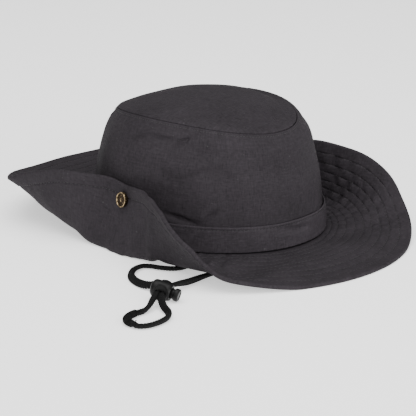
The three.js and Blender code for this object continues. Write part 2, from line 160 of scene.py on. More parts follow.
def eased(low: float, high: float, value: np.ndarray) -> np.ndarray:
    """Smooth step from 0 at low to 1 at high: 3 t^2 - 2 t^3."""
    t = np.clip((value - low) / (high - low), 0, 1)
    return t * t * (3 - 2 * t)


def bump(value: np.ndarray, middle: float, half: float) -> np.ndarray:
    """Bell of height 1: exp(-((value - middle) / half)^2)."""
    return np.exp(-(((value - middle) / half) ** 2))


def unit(vectors: np.ndarray) -> np.ndarray:
    """The vectors at length 1."""
    return vectors / np.maximum(np.linalg.norm(vectors, axis=-1, keepdims=True), 1e-12)


def turn_from(angle: np.ndarray, middle: float) -> np.ndarray:
    """Degrees from middle to angle by the short way round: (angle - middle + 180) mod 360 - 180."""
    return (angle - middle + 180) % 360 - 180


def boxed(value: np.ndarray, power: float) -> np.ndarray:
    """Sign times size to a power below 1, by which a circle's sine and cosine draw a rounded box."""
    return np.sign(value) * np.abs(value) ** power


def run_along(line: np.ndarray) -> np.ndarray:
    """Distance run at each point of a line: 0, and then the lengths of its steps added up."""
    return np.concatenate([[0], np.cumsum(np.linalg.norm(np.diff(line, axis=0), axis=1))])


def at_places(values: np.ndarray, run: np.ndarray, places: np.ndarray) -> np.ndarray:
    """Rows of values at places between those of a run, column by column on straight lines."""
    return np.stack([np.interp(places, run, column) for column in values.T], -1)


def folds(
    angle: np.ndarray, across: np.ndarray, waves: tuple[int, int], slant: float, count: int, seed: int
) -> np.ndarray:
    """Soft folds that close on themselves round the hat.

    Args:
        angle: degrees round the hat.
        across: millimetres across the cloth.
        waves: fewest and most waves in one turn.
        slant: most radians that a wave shifts per millimetre across.
        count: how many waves are summed.
        seed: seed of their phases.

    Returns:
        sum of cos(n a + k s + phase), divided by the root of the count.
    """
    dice = np.random.default_rng(seed)
    total = np.zeros(np.broadcast(angle, across).shape)
    for _ in range(count):
        whole = int(dice.integers(waves[0], waves[1] + 1))
        shift = dice.uniform(-slant, slant) * across
        total += np.cos(whole * np.radians(angle) + shift + dice.uniform(0, 2 * np.pi))
    return total / np.sqrt(count)


CROWN_SECTIONS = SectionTable(
    ("height", "half_length", "half_width", "back", "front_droop", "back_droop"),
    (
        (0, 99.5, 84.5, 0, 0, 0),
        (20, 98.5, 82.5, 0, 0, 0),
        (45, 96.5, 79, 0.6, 1, 1),
        (68, 92, 73.5, 0.7, 4.2, 2.6),
        (82, 87.7, 69, -0.5, 6.5, 5.3),
        (92, 80.8, 63, -0.2, 8, 10),
    ),
)
# A dent's columns are its angle and height, its spreads round and up the crown, and its depth. A crease's
# are its angle and height, its half length and half width, its tilt and its depth.
CROWN_DENTS = (
    Dent(206, 74, 22, 12, 3.5),
    Dent(272, 13, 14, 12, 2),
    Dent(35, 60, 24, 22, 3),
)
CROWN_CREASES = (
    Crease(177, 79, 9, 1.7, 20, 2.0),
    Crease(190, 81, 11, 1.7, 0, 2.0),
    Crease(190, 85, 12, 2.2, 0, -0.7),
    Crease(203.5, 81.5, 9, 1.6, 37, 2.3),
    Crease(201, 84.5, 7, 1.8, 30, -0.9),
    Crease(223, 88.5, 4, 1.0, 84, 1.4),
    Crease(228, 84, 6, 1.3, 84, -0.7),
    Crease(212, 87, 3.5, 0.9, 78, 0.9),
    Crease(216.5, 60, 14, 3.4, 22, 1.6),
    Crease(216, 67, 14, 3.6, 22, -0.9),
    Crease(206, 23.6, 10, 2.2, -14, 2.7),
    Crease(221, 28.5, 5.5, 1.5, 43, 2.0),
    Crease(216, 26.5, 4, 2.0, 60, -1.1),
    Crease(264, 27, 6, 1.3, 78, 0.9),
    Crease(271, 30.5, 8, 1.3, 80, 1.1),
    Crease(277, 35, 7, 1.5, 96, 0.7),
    Crease(286, 30, 9, 1.6, 84, 0.9),
    Crease(232, 58, 24, 5.0, 14, 1.1),
    Crease(232, 68, 24, 5.0, 14, -0.8),
    Crease(196, 55, 16, 4.0, -20, 0.9),
    Crease(248, 40, 20, 5.0, -24, 0.7),
    Crease(270, 62, 22, 6.0, 12, 0.6),
)
BAND_CREASES = (
    Crease(268, 12.8, 15, 2.4, -8, 1.2),
    Crease(262, 8.5, 12, 2.4, -6, -0.4),
    Crease(206, 12, 9, 2.5, 20, 0.5),
)
BRIM_SECTIONS = SectionTable(
    ("y", "start", "slope_in", "slope_out", "roll_at", "roll_half"),
    (
        (-172, 1.2, 0, 0, 70, 40),
        (-154, 1.3, 0, 12, 76, 36),
        (-128, 5.6, 0, 21, 92, 32),
        (-108, 5.4, 0, 41, 94, 28),
        (-88, 6, 4, 55, 97, 24),
        (-60, 6.3, 1.5, 76.5, 99, 18),
        (-30, 6, -17, 85, 97, 12),
        (0, 6, -42, 98, 100, 10),
        (30, 6, -40, 97, 96, 11),
        (55, 6, -6, 83, 95, 18),
        (80, 6, 2, 83, 96, 30),
        (100, 5.9, 2, 73, 91, 42),
        (125, 14, 7, 37.5, 87, 46),
        (150, 19.2, 4, 33.6, 70, 55),
        (172, 24.5, 0, 26, 50, 50),
    ),
)
RIGHT_CHANGES = (
    SideChange(-70, 27, slope_out=-5.8),
    SideChange(-19.5, 10.5, slope_out=-3.3),
    SideChange(-71, 39, slope_in=-3.7, roll_at=-1.7, roll_half=-25),
    SideChange(-41, 7.2, slope_in=9.4, roll_at=2.1),
)


# Meshes from grids


@dataclass
class Patch:
    """Faces of one shape: quads or triangles of points, and the cloth coordinates at their corners."""

    points: np.ndarray
    faces: list[np.ndarray] = field(default_factory=list)
    corners: list[np.ndarray] = field(default_factory=list)

    def turned_out(self) -> "Patch":
        """Turns the faces outwards: they are reversed if p0 . (p1 x p2) sums below zero.

        Returns:
            The patch itself.
        """
        volume = 0.0
        for face in self.faces:
            for k in range(1, face.shape[1] - 1):
                a, b, c = (self.points[face[:, i]] for i in (0, k, k + 1))
                volume += float(np.einsum("ij,ij->", a, np.cross(b, c)))
        if volume < 0:
            self.faces = [face[:, ::-1] for face in self.faces]
            self.corners = [corner[:, ::-1] for corner in self.corners]
        return self

    def moved(self, matrix: Matrix) -> "Patch":
        """Turns and shifts the points: R p + t.

        Args:
            matrix: the turn and the shift.

        Returns:
            The patch itself.
        """
        m = np.array(matrix)
        self.points = self.points @ m[:3, :3].T + m[:3, 3]
        return self


def ring_patch(points: np.ndarray, cloth: np.ndarray) -> Patch:
    """A closed tube of points: rows go round its section and columns round the hat.

    Args:
        points: (rows, columns, 3); both directions close on themselves.
        cloth: (rows, columns + 1, 2) cloth coordinates, so that the last column can differ from the first.

    Returns:
        The patch, with quads (r, c), (r, c + 1), (r + 1, c + 1), (r + 1, c).
    """
    rows, columns = points.shape[:2]
    r, c = np.meshgrid(np.arange(rows), np.arange(columns), indexing="ij")
    r, c = r.ravel(), c.ravel()
    up, along = (r + 1) % rows, (c + 1) % columns
    quads = np.stack([r * columns + c, r * columns + along, up * columns + along, up * columns + c], 1)
    uv = np.stack([cloth[r, c], cloth[r, c + 1], cloth[up, c + 1], cloth[up, c]], 1)
    return Patch(points.reshape(-1, 3), [quads], [uv]).turned_out()


def capped_patch(points: np.ndarray, cloth: np.ndarray, first: np.ndarray, last: np.ndarray) -> Patch:
    """A closed body of rings between two end points.

    Args:
        points: (rows, columns, 3); the columns close on themselves.
        cloth: (rows, columns + 1, 2).
        first: the point that closes the first ring.
        last: the point that closes the last ring.

    Returns:
        The patch: quads between the rings and a fan of triangles at each end.
    """
    rows, columns = points.shape[:2]
    r, c = np.meshgrid(np.arange(rows - 1), np.arange(columns), indexing="ij")
    r, c = r.ravel(), c.ravel()
    along = (c + 1) % columns
    here, above = r * columns, (r + 1) * columns
    quads = np.stack([here + c, here + along, above + along, above + c], 1)
    uv = np.stack([cloth[r, c], cloth[r, c + 1], cloth[r + 1, c + 1], cloth[r + 1, c]], 1)
    flat = points.reshape(-1, 3)
    c = np.arange(columns)
    along = (c + 1) % columns
    low, high, top = len(flat), len(flat) + 1, (rows - 1) * columns
    start = np.stack([np.full(columns, low), along, c], 1)
    end = np.stack([np.full(columns, high), top + c, top + along], 1)
    middle_a = np.broadcast_to(cloth[0, :-1].mean(0), (columns, 2))
    middle_b = np.broadcast_to(cloth[-1, :-1].mean(0), (columns, 2))
    fan_a = np.stack([middle_a, cloth[0, c + 1], cloth[0, c]], 1)
    fan_b = np.stack([middle_b, cloth[-1, c], cloth[-1, c + 1]], 1)
    faces = [quads, np.vstack([start, end])]
    corners = [uv, np.vstack([fan_a, fan_b])]
    return Patch(np.vstack([flat, first, last]), faces, corners).turned_out()


def joined(patches: list[Patch]) -> Patch:
    """Several patches as one, their points one after another.

    Args:
        patches: the patches, in order.

    Returns:
        One patch with all their points and faces.
    """
    points, faces, corners, base = [], [], [], 0
    for patch in patches:
        points.append(patch.points)
        faces += [face + base for face in patch.faces]
        corners += patch.corners
        base += len(patch.points)
    return Patch(np.vstack(points), faces, corners)


def lathe(profile: list[tuple[float, float]], segments: int) -> Patch:
    """Body turned about Z from (radius, height) rows between two poles: (r cos a, r sin a, h).

    Args:
        profile: the rows.
        segments: how many columns go round.

    Returns:
        The patch, with (radius, height) as its map.
    """
    radius, height = np.array(profile, float).T
    angle = 2 * np.pi * np.arange(segments + 1) / segments
    turn = angle[:-1]
    points = np.stack(
        [
            radius[:, None] * np.cos(turn),
            radius[:, None] * np.sin(turn),
            np.broadcast_to(height[:, None], (len(height), segments)),
        ],
        -1,
    )
    section = np.stack([radius, height], -1)[:, None]
    cloth = np.broadcast_to(section, (len(radius), segments + 1, 2))
    return capped_patch(points, cloth, np.array([0, 0, height[0]]), np.array([0, 0, height[-1]]))


class Body(Enum):
    """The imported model's bodies."""

    HAT = "hat"
    PLUNGER = "plunger"


class Slot(Enum):
    """Names of material slots."""

    CLOTH = "cloth"
    BRASS = "brass"
    CORD = "cord"
    PLASTIC = "plastic"


def make_mesh(name: str, patch: Patch, finish: bpy.types.Material) -> bpy.types.Object:
    """Puts a patch into the mesh of a new object at the origin, in metres, smooth, with its map.

    Args:
        name: the object's name.
        patch: its faces, in millimetres.
        finish: its material.

    Returns:
        The object, linked to the scene.
    """
    mesh = bpy.data.meshes.new(name)
    faces = [row for face in patch.faces for row in face.tolist()]
    mesh.from_pydata((patch.points * MM).tolist(), [], faces)
    layer = mesh.uv_layers.new(name="cloth_mm")
    corners = np.vstack([corner.reshape(-1, 2) for corner in patch.corners])
    layer.data.foreach_set("uv", corners.astype(np.float32).ravel())
    mesh.polygons.foreach_set("use_smooth", np.ones(len(faces), bool))
    mesh.update()
    made = bpy.data.objects.new(name, mesh)
    bpy.context.scene.collection.objects.link(made)
    made.data.materials.append(finish)
    return made


def make_piece(
    name: str,
    patch: Patch,
    finish: bpy.types.Material,
    body: Body = Body.HAT,
    stands_for: tuple[str, ...] = (),
) -> bpy.types.Object:
    """Puts a patch into a mesh of its own and fixes it to its body.

    Args:
        name: the piece's name.
        patch: its faces, in millimetres.
        finish: its material.
        body: the body it rides on.
        stands_for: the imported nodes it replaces.

    Returns:
        The object, at the origin with its place in its mesh.
    """
    piece = make_mesh(name, patch, finish)
    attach(piece, body.value)
    if stands_for:
        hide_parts(*stands_for)
    LOG.info("%s: %d faces", name, len(piece.data.polygons))
    return piece


# Node materials


class Wire:
    """A node's output in an expression: each operation adds its Math node."""

    def __init__(self, finish: "NodeFinish", socket: bpy.types.NodeSocket) -> None:
        """Holds a socket of a finish's node tree."""
        self.finish = finish
        self.socket = socket

    def math(self, operation: str, *values: "Wire | float") -> "Wire":
        """A Math node on these values, in the order of its sockets."""
        return self.finish.add("ShaderNodeMath", {"operation": operation}, dict(enumerate(values)))

    def __add__(self, other: "Wire | float") -> "Wire":
        """self + other"""
        return self.math("ADD", self, other)

    __radd__ = __add__

    def __sub__(self, other: "Wire | float") -> "Wire":
        """self - other"""
        return self.math("SUBTRACT", self, other)

    def __rsub__(self, other: float) -> "Wire":
        """other - self"""
        return self.math("SUBTRACT", other, self)

    def __mul__(self, other: "Wire | float") -> "Wire":
        """self * other"""
        return self.math("MULTIPLY", self, other)

    __rmul__ = __mul__

    def __truediv__(self, other: "Wire | float") -> "Wire":
        """self / other"""
        return self.math("DIVIDE", self, other)

    def __rtruediv__(self, other: float) -> "Wire":
        """other / self"""
        return self.math("DIVIDE", other, self)

    def sin(self) -> "Wire":
        """Sine of radians."""
        return self.math("SINE", self)

    def part(self, index: int) -> "Wire":
        """Another output of the same node."""
        return Wire(self.finish, self.socket.node.outputs[index])

    def ramp(self, low: float, high: float) -> "Wire":
        """Smooth step from 0 at low to 1 at high."""
        settings = {"interpolation_type": "SMOOTHSTEP"}
        return self.finish.add("ShaderNodeMapRange", settings, {0: self, 1: low, 2: high}, "Result")


class NodeFinish:
    """A material built of nodes on one Principled shader."""

    def __init__(self, name: str) -> None:
        """Starts a material with its shader and output alone.

        Args:
            name: the material's name.
        """
        self.material = bpy.data.materials.new(name)
        self.material.use_nodes = True
        self.tree = self.material.node_tree
        self.tree.nodes.clear()
        self.shader = self.tree.nodes.new("ShaderNodeBsdfPrincipled")
        output = self.tree.nodes.new("ShaderNodeOutputMaterial")
        self.tree.links.new(self.shader.outputs["BSDF"], output.inputs["Surface"])

    def add(self, kind: str, settings: dict, inputs: dict, output: str | int = 0) -> Wire:
        """Adds a node.

        Args:
            kind: the node's type.
            settings: its properties.
            inputs: values or wires by socket name or number.
            output: the output that is wanted.

        Returns:
            That output.
        """
        node = self.tree.nodes.new(kind)
        for key, value in settings.items():
            setattr(node, key, value)
        for key, value in inputs.items():
            self.feed(node.inputs[key], value)
        return Wire(self, node.outputs[output])

    def feed(self, socket: bpy.types.NodeSocket, value: "Wire | float | tuple") -> None:
        """Links a wire to a socket or sets its plain value.

        Args:
            socket: an input of a node.
            value: a wire, a number, or a colour, which gets its alpha here.
        """
        if isinstance(value, Wire):
            self.tree.links.new(value.socket, socket)
        elif isinstance(value, tuple) and len(value) == 3 and socket.type == "RGBA":
            socket.default_value = (*value, 1)
        else:
            socket.default_value = value

    def shade(self, **values: "Wire | float | tuple") -> bpy.types.Material:
        """Sets the shader's sockets.

        Args:
            values: values or wires by the sockets' names, with underscores for spaces.

        Returns:
            The finished material.
        """
        for name, value in values.items():
            self.feed(self.shader.inputs[name.replace("_", " ")], value)
        return self.material

    def cloth_place(self) -> Wire:
        """The piece's own UV map, in millimetres of cloth."""
        return self.add("ShaderNodeUVMap", {"uv_map": "cloth_mm"}, {}, "UV")

    def object_place(self) -> Wire:
        """Place in the row frame, in metres."""
        return self.add("ShaderNodeTexCoord", {}, {}, "Object")

    def split(self, vector: Wire) -> tuple[Wire, Wire, Wire]:
        """The three parts of a vector."""
        x = self.add("ShaderNodeSeparateXYZ", {}, {0: vector})
        return x, x.part(1), x.part(2)

    def vector(self, x: "Wire | float", y: "Wire | float", z: "Wire | float" = 0.0) -> Wire:
        """A vector of three parts."""
        return self.add("ShaderNodeCombineXYZ", {}, {0: x, 1: y, 2: z})

    def noise(self, place: Wire, scale: float, detail: float = 2.0, rough: float = 0.5) -> Wire:
        """Noise from 0 to 1."""
        inputs = {"Vector": place, "Scale": scale, "Detail": detail, "Roughness": rough}
        return self.add("ShaderNodeTexNoise", {}, inputs, "Fac")

    def blend(self, factor: "Wire | float", low: "Wire | tuple", high: "Wire | tuple") -> Wire:
        """Colour between two, low at factor 0."""
        inputs = {"Factor": factor, 6: low, 7: high}
        return self.add("ShaderNodeMix", {"data_type": "RGBA"}, inputs, 2)

    def relief(self, height: Wire, distance: float, strength: float = 1.0) -> Wire:
        """Normal from a height in units of a distance in metres."""
        inputs = {"Height": height, "Distance": distance, "Strength": strength}
        return self.add("ShaderNodeBump", {}, inputs, "Normal")


def grey(level: float, warmth: float = 0.0) -> tuple[float, float, float]:
    """A near-neutral colour in linear light, with red and blue raised and green lowered by its warmth."""
    return (level * (1 + warmth), level * (1 - warmth), level * (1 + warmth))


@dataclass(frozen=True)
class WaxedCotton:
    """Charcoal waxed cotton: a fine plain weave with slubs both ways, cloudy wax and specks of lint."""

    level: float = 0.023
    thread: float = 0.62
    slub: float = 0.8
    cloud: float = 0.75
    tint: float = 0.07

    def material(self) -> bpy.types.Material:
        """The cloth's nodes: threads and slubs follow the cloth, clouds of wax and lint the object.

        Tone is 1 + slub (warp + weft - 1) + cloud (wax - 1/2) + thick and thin dashes + the weave, over
        the cloth's level.

        Returns:
            The material.
        """
        f = NodeFinish("waxed_cotton")
        u, v, _ = f.split(f.cloth_place())
        place = f.object_place()
        turn = 2 * np.pi / self.thread
        weave = (u * turn).sin() * (v * turn).sin() * 0.5 + 0.5
        weft = f.noise(f.vector(u * 0.20, v * 0.75), 1.0, 3.0, 0.6)
        warp = f.noise(f.vector(u * 0.75, v * 0.20, 7.0), 1.0, 3.0, 0.6)
        thick = f.noise(f.vector(u * 0.10, v * 0.55, 19.0), 1.0, 1.0, 0.5).ramp(0.62, 0.74)
        thin = f.noise(f.vector(u * 0.55, v * 0.10, 31.0), 1.0, 1.0, 0.5).ramp(0.62, 0.74)
        wax = f.noise(place, 30.0, 4.0, 0.6)
        lint = f.noise(place, 420.0, 1.0, 0.5).ramp(0.76, 0.80)
        slubs = warp + weft
        tone = 1 + (slubs - 1) * self.slub + (wax - 0.5) * self.cloud
        tone = tone + thick * 0.16 - thin * 0.18 + (weave - 0.5) * 0.1
        dark = grey(self.level * 0.4, self.tint)
        light = grey(self.level * 1.6, self.tint)
        colour = f.blend((tone - 0.4) / 1.2, dark, light)
        colour = f.blend(lint * 0.3, colour, grey(self.level * 4.0))
        height = weave * 0.3 + slubs * 0.8 + thick * 0.5
        normal = f.relief(height, 0.00022, 0.7)
        rough = 0.74 + (wax - 0.5) * 0.2
        return f.shade(
            Base_Color=colour,
            Roughness=rough,
            Specular_IOR_Level=0.06,
            Normal=normal,
        )


@dataclass(frozen=True)
class SewingThread:
    """Waxed sewing thread, a shade lighter than the cloth."""

    level: float = 0.017

    def material(self) -> bpy.types.Material:
        """Twisted thread: fine noise in its tone and its relief.

        Returns:
            The material.
        """
        f = NodeFinish("sewing_thread")
        tone = f.noise(f.object_place(), 2600.0, 2.0, 0.6)
        colour = f.blend(tone, grey(self.level * 0.6), grey(self.level * 1.5))
        normal = f.relief(tone, 0.0001, 0.5)
        return f.shade(Base_Color=colour, Roughness=0.6, Specular_IOR_Level=0.4, Normal=normal)


@dataclass(frozen=True)
class AntiqueBrass:
    """Antique brass: bright on its rubbed rim and boss, brown in its sunk ring."""

    low: float = 1.1
    high: float = 2.35
    dark: tuple[float, float, float] = (0.03, 0.019, 0.011)
    bright: tuple[float, float, float] = (0.40, 0.30, 0.17)

    def material(self) -> bpy.types.Material:
        """The brass's nodes: rubbed by height above the cap's foot, from its map, and by patchy wear.

        Rubbed is smoothstep(0.42 height + 1.1 (patina - 1/2) + 1.7 (blotch - 1/2)).

        Returns:
            The material.
        """
        f = NodeFinish("antique_brass")
        _, height, _ = f.split(f.cloth_place())
        place = f.object_place()
        patina = f.noise(place, 1300.0, 4.0, 0.62)
        blotch = f.noise(place, 620.0, 2.0, 0.5)
        proud = height.ramp(self.low, self.high)
        rubbed = (proud * 0.42 + (patina - 0.5) * 1.1 + (blotch - 0.5) * 1.7).ramp(0.05, 0.7)
        return f.shade(
            Base_Color=f.blend(rubbed, self.dark, self.bright),
            Metallic=0.9,
            Roughness=0.6 - rubbed * 0.2,
            Normal=f.relief(patina, 0.0002, 0.5),
        )


@dataclass(frozen=True)
class BlackBraid:
    """Black polyester braid with its fine yarns."""

    level: float = 0.003
    yarns_round: float = 5.2
    yarns_along: float = 4.4

    def material(self) -> bpy.types.Material:
        """Yarns that cross slantwise along the cord: (sin(a u + b v) + 1)(sin(a u - b v) + 1) / 4.

        Returns:
            The material.
        """
        f = NodeFinish("black_braid")
        u, v, _ = f.split(f.cloth_place())
        across, along = u * self.yarns_round, v * self.yarns_along
        yarn = ((across + along).sin() * 0.5 + 0.5) * ((across - along).sin() * 0.5 + 0.5)
        fuzz = f.noise(f.object_place(), 1500.0, 3.0, 0.6)
        tone = yarn * 0.7 + fuzz * 0.5
        colour = f.blend(tone, grey(self.level * 0.4), grey(self.level * 2.2))
        return f.shade(
            Base_Color=colour,
            Roughness=0.8,
            Specular_IOR_Level=0.14,
            Normal=f.relief(tone, 0.00018, 0.7),
        )


@dataclass(frozen=True)
class MouldedPlastic:
    """Black moulded plastic, half matte, with fine grain."""

    level: float = 0.0035

    def material(self) -> bpy.types.Material:
        """Grain of fine noise in the relief, and broad noise in the tone and the gloss.

        Returns:
            The material.
        """
        f = NodeFinish("moulded_plastic")
        place = f.object_place()
        grain = f.noise(place, 2400.0, 2.0, 0.6)
        patch = f.noise(place, 160.0, 2.0, 0.5)
        colour = f.blend(patch, grey(self.level * 0.8), grey(self.level * 1.3))
        return f.shade(
            Base_Color=colour,
            Roughness=0.32 + patch * 0.12,
            Specular_IOR_Level=0.16,
            Normal=f.relief(grain, 0.00006, 0.5),
        )


@dataclass
class Finishes:
    """The hat's finishes, each made once."""

    cloth: bpy.types.Material = field(default_factory=lambda: WaxedCotton().material())
    # Painted highlight: the band is the crown's own cloth, painted lighter (0.031 against 0.023) to cancel
    # the shade that falls on it between the crown and the brim.
    band_cloth: bpy.types.Material = field(default_factory=lambda: WaxedCotton(level=0.031).material())
    thread: bpy.types.Material = field(default_factory=lambda: SewingThread().material())
    brass: bpy.types.Material = field(default_factory=lambda: AntiqueBrass().material())
    braid: bpy.types.Material = field(default_factory=lambda: BlackBraid().material())
    plastic: bpy.types.Material = field(default_factory=lambda: MouldedPlastic().material())


# Stitches


def stitches(
    places: np.ndarray, along: np.ndarray, outwards: np.ndarray, length: float, width: float
) -> Patch:
    """Short fat threads, one at each place: spindles of two rings of five points between two tips.

    Args:
        places: (n, 3) middles.
        along: (n, 3) unit directions of the threads.
        outwards: (n, 3) unit directions away from the cloth.
        length: length of a stitch.
        width: its thickness.

    Returns:
        All the stitches as one patch.
    """
    sides = 5
    turn = 2 * np.pi * np.arange(sides) / sides
    ring = np.stack([np.cos(turn), np.sin(turn)], -1)
    x = np.concatenate([[-1.0], np.full(sides, -0.5), np.full(sides, 0.5), [1.0]]) * length / 2
    y = np.concatenate([[0.0], ring[:, 0], ring[:, 0], [0.0]]) * width / 2
    z = np.concatenate([[-0.6], ring[:, 1], ring[:, 1], [-0.6]]) * width / 2
    across = unit(np.cross(outwards, along))
    points = (
        places[:, None]
        + along[:, None] * x[None, :, None]
        + across[:, None] * y[None, :, None]
        + outwards[:, None] * z[None, :, None]
    )
    k = np.arange(sides)
    n = (k + 1) % sides
    tip_a = np.stack([np.zeros(sides, int), 1 + n, 1 + k], 1)
    tip_b = np.stack([np.full(sides, 2 * sides + 1), 1 + sides + k, 1 + sides + n], 1)
    belt = np.stack([1 + k, 1 + n, 1 + sides + n, 1 + sides + k], 1)
    base = (np.arange(len(places)) * (2 * sides + 2))[:, None, None]
    triangles = (np.vstack([tip_a, tip_b])[None] + base).reshape(-1, 3)
    quads = (belt[None] + base).reshape(-1, 4)
    corners = [np.zeros((len(quads), 4, 2)), np.zeros((len(triangles), 3, 2))]
    return Patch(points.reshape(-1, 3), [quads, triangles], corners).turned_out()


def even_places(line: np.ndarray, pitch: float) -> np.ndarray:
    """Where evenly spaced stitches fall on a closed line.

    Args:
        line: (n, 3) points of the line.
        pitch: distance between stitches, which is rounded so that a whole number goes round.

    Returns:
        The stitches' places, counted in points of the line.
    """
    closed = np.vstack([line, line[:1]])
    run = run_along(closed)
    count = max(int(round(run[-1] / pitch)), 3)
    return np.interp(np.arange(count) * run[-1] / count, run, np.arange(len(closed)))


def sew(
    surface: Callable[[np.ndarray], np.ndarray], inside: np.ndarray, pitch: float, width: float
) -> Patch:
    """A row of stitches round the hat on a surface's closed line.

    Args:
        surface: gives the line's points for angles in degrees.
        inside: a point that outwards is away from, for the stitches' own tilt.
        pitch: distance between stitches.
        width: thickness of the thread.

    Returns:
        The row's stitches.
    """
    angle = even_places(surface(np.arange(0, 360, FINE_TURN)), pitch) * FINE_TURN
    here = surface(angle)
    along = unit(surface(angle + NUDGE_TURN) - surface(angle - NUDGE_TURN))
    outwards = here - inside
    outwards = unit(outwards - along * np.sum(outwards * along, 1, keepdims=True))
    return stitches(here, along, outwards, pitch * STITCH_SHARE, width)


# Crown


@dataclass
class Crown:
    """The crown: its side wall, the band round its foot and the domed tip."""

    finishes: Finishes
    foot: float = 8.3
    top: float = 92.0
    cloth: float = 2.0
    gap: float = 0.4
    band_cloth: float = 1.6
    band_height: float = 20.0
    tip_dome: float = 9.0
    tip_rounding: float = 2.4
    shoulder: float = 88.0
    shoulder_share: float = 0.95
    share_step: float = 0.05
    seam_gap: float = 0.09
    sunk_angle: float = 8.0
    mean_radius: float = 92.0
    band_row: float = 17.6
    low_edge: float = 0.4
    edge_drop: float = 0.9
    tuck: float = 0.7
    tuck_drop: float = 1.5
    tuck_cloth: float = 0.8
    rim_drops: tuple[float, float] = (0.35, 1.8)
    columns: int = 600

    def point(self, angle: np.ndarray, height: np.ndarray, inside: np.ndarray) -> np.ndarray:
        """Point of the crown: an oval section at each height, pushed in by dents, its ends drooping.

        Args:
            angle: degrees round the crown, 0 at +X and 90 at the back.
            height: height above the foot.
            inside: how far inside the outer face.

        Returns:
            ((w - i) cos a, (l - i) sin a + back, foot + height - droop sin^2 a).
        """
        angle, height, inside = np.broadcast_arrays(angle, height, inside)
        inward = inside + sum(dent.depth_at(angle, height) for dent in CROWN_DENTS)
        cos, sin = np.cos(np.radians(angle)), np.sin(np.radians(angle))
        column = CROWN_SECTIONS.column
        x = (column("half_width", height) - inward) * cos
        y = (column("half_length", height) - inward) * sin + column("back", height)
        droop = np.where(sin < 0, column("front_droop", height), column("back_droop", height)) * sin**2
        return np.stack([x, y, self.foot + height - droop], -1)

    def side_relief(self, angle: np.ndarray, height: np.ndarray) -> np.ndarray:
        """How far the side's outer face stands out.

        Args:
            angle: degrees round the crown.
            height: height above its foot.

        Returns:
            Soft folds of cos(n a + k h), held at the foot and the top, gathers under the tip and the seam
            at the back, less the creases.
        """
        free = eased(2, 26, height) * (1 - 0.6 * eased(78, 92, height))
        broad = 0.5 * folds(angle, height, waves=(3, 9), slant=0.06, count=7, seed=11)
        small = 0.24 * folds(angle, height, waves=(12, 30), slant=0.10, count=8, seed=12)
        gathers = 0.05 * folds(angle, height, waves=(60, 96), slant=0.02, count=9, seed=13)
        gathers = gathers * eased(78, 88, height)
        pressed = sum(crease.depth_at(angle, height) for crease in CROWN_CREASES)
        seam = turn_from(angle, 90)
        back_seam = (0.35 * bump(seam, -0.9, 0.9) - 0.3 * bump(seam, 0.1, 0.25)) * eased(18, 24, height)
        return free * (broad + small) + gathers + back_seam - pressed

    def wall(self, heights: np.ndarray, inside: np.ndarray, relief: np.ndarray) -> Patch:
        """A closed wall whose section is given by heights and depths, going once round.

        Args:
            heights: height of each row of the section.
            inside: how far inside the crown's outer face each row lies.
            relief: (rows, columns) that stand out from it.

        Returns:
            The patch; its cloth runs round the crown by the foot's length and up it by height.
        """
        angle = 90 + 360 * np.arange(self.columns + 1) / self.columns
        points = self.point(angle[None, :-1], heights[:, None], inside[:, None] - relief)
        run = run_along(np.stack([heights, inside], -1))
        cloth = np.stack(np.broadcast_arrays(self.round_it(angle)[None], run[:, None]), -1)
        return ring_patch(points, cloth)

    def round_it(self, angle: np.ndarray) -> np.ndarray:
        """Millimetres of cloth round the crown for degrees, by its mean radius."""
        return angle * 2 * np.pi * self.mean_radius / 360

    def seam_at(self, angle: np.ndarray) -> np.ndarray:
        """Where the tip's seam crosses the shoulder: on its corner, and further in at the hat's left."""
        return 0.5 + 2.3 * bump(turn_from(angle, self.sunk_angle), 0, 50)

    def shoulder_point(self, angle: np.ndarray, along: np.ndarray) -> np.ndarray:
        """Point of the crown's outer face over its shoulder and on to the middle of the tip.

        Args:
            angle: degrees round the crown.
            along: 0 on the side wall, 1 on the tip; past that the rim's share falls by share_step per 1.

        Returns:
            The Bezier (1 - t)^2 side + 2 t (1 - t) corner + t^2 tip up to 1, and the tip's face past it.
        """
        angle, along = np.broadcast_arrays(angle, along)
        t = np.clip(along, 0, 1)[..., None]
        height = np.full(angle.shape, self.shoulder)
        low = self.point(angle, height, -self.side_relief(angle, height))
        corner = self.tip_point(angle, np.ones(angle.shape), np.full(angle.shape, 1.7))
        share = np.clip(self.shoulder_share - np.maximum(along - 1, 0) * self.share_step, 0, 1)
        high = self.tip_point(angle, share, self.cloth + self.tip_relief(angle, share))
        return (1 - t) ** 2 * low + 2 * t * (1 - t) * corner + t**2 * high

    def side(self) -> bpy.types.Object:
        """The side wall: up its outer face, over the shoulder to the seam, and back down inside.

        Returns:
            The piece, one closed tube whose cloth is tucked under the tip at the seam.
        """
        angle = 90 + 360 * np.arange(self.columns) / self.columns
        seam = self.seam_at(angle)
        out = np.linspace(self.low_edge, self.shoulder, 112)[:-1, None]
        outer = self.point(angle[None], out, -self.side_relief(angle[None], out))
        over = self.shoulder_point(angle[None], seam[None] * np.linspace(0, 1, 14)[:, None])
        down = np.array([0, 0, 1.0])
        tucked = self.shoulder_point(angle[None], seam[None] + self.tuck) - self.tuck_drop * down
        edge = [over[-1:] - self.edge_drop * down, tucked, tucked - self.tuck_cloth * down]
        into = np.linspace(self.shoulder - 1, self.low_edge, 14)[:, None]
        inner = self.point(angle[None], into, np.full(into.shape, self.cloth))
        points = np.concatenate([outer, over, *edge, inner])
        run = run_along(points[:, 0])
        round_it = self.round_it(np.append(angle, angle[0] + 360))
        cloth = np.stack(np.broadcast_arrays(round_it[None], run[:, None]), -1)
        patch, finish = ring_patch(points, cloth), self.finishes.cloth
        return make_piece("crown_side_cloth", patch, finish, stands_for=("crown_side",))

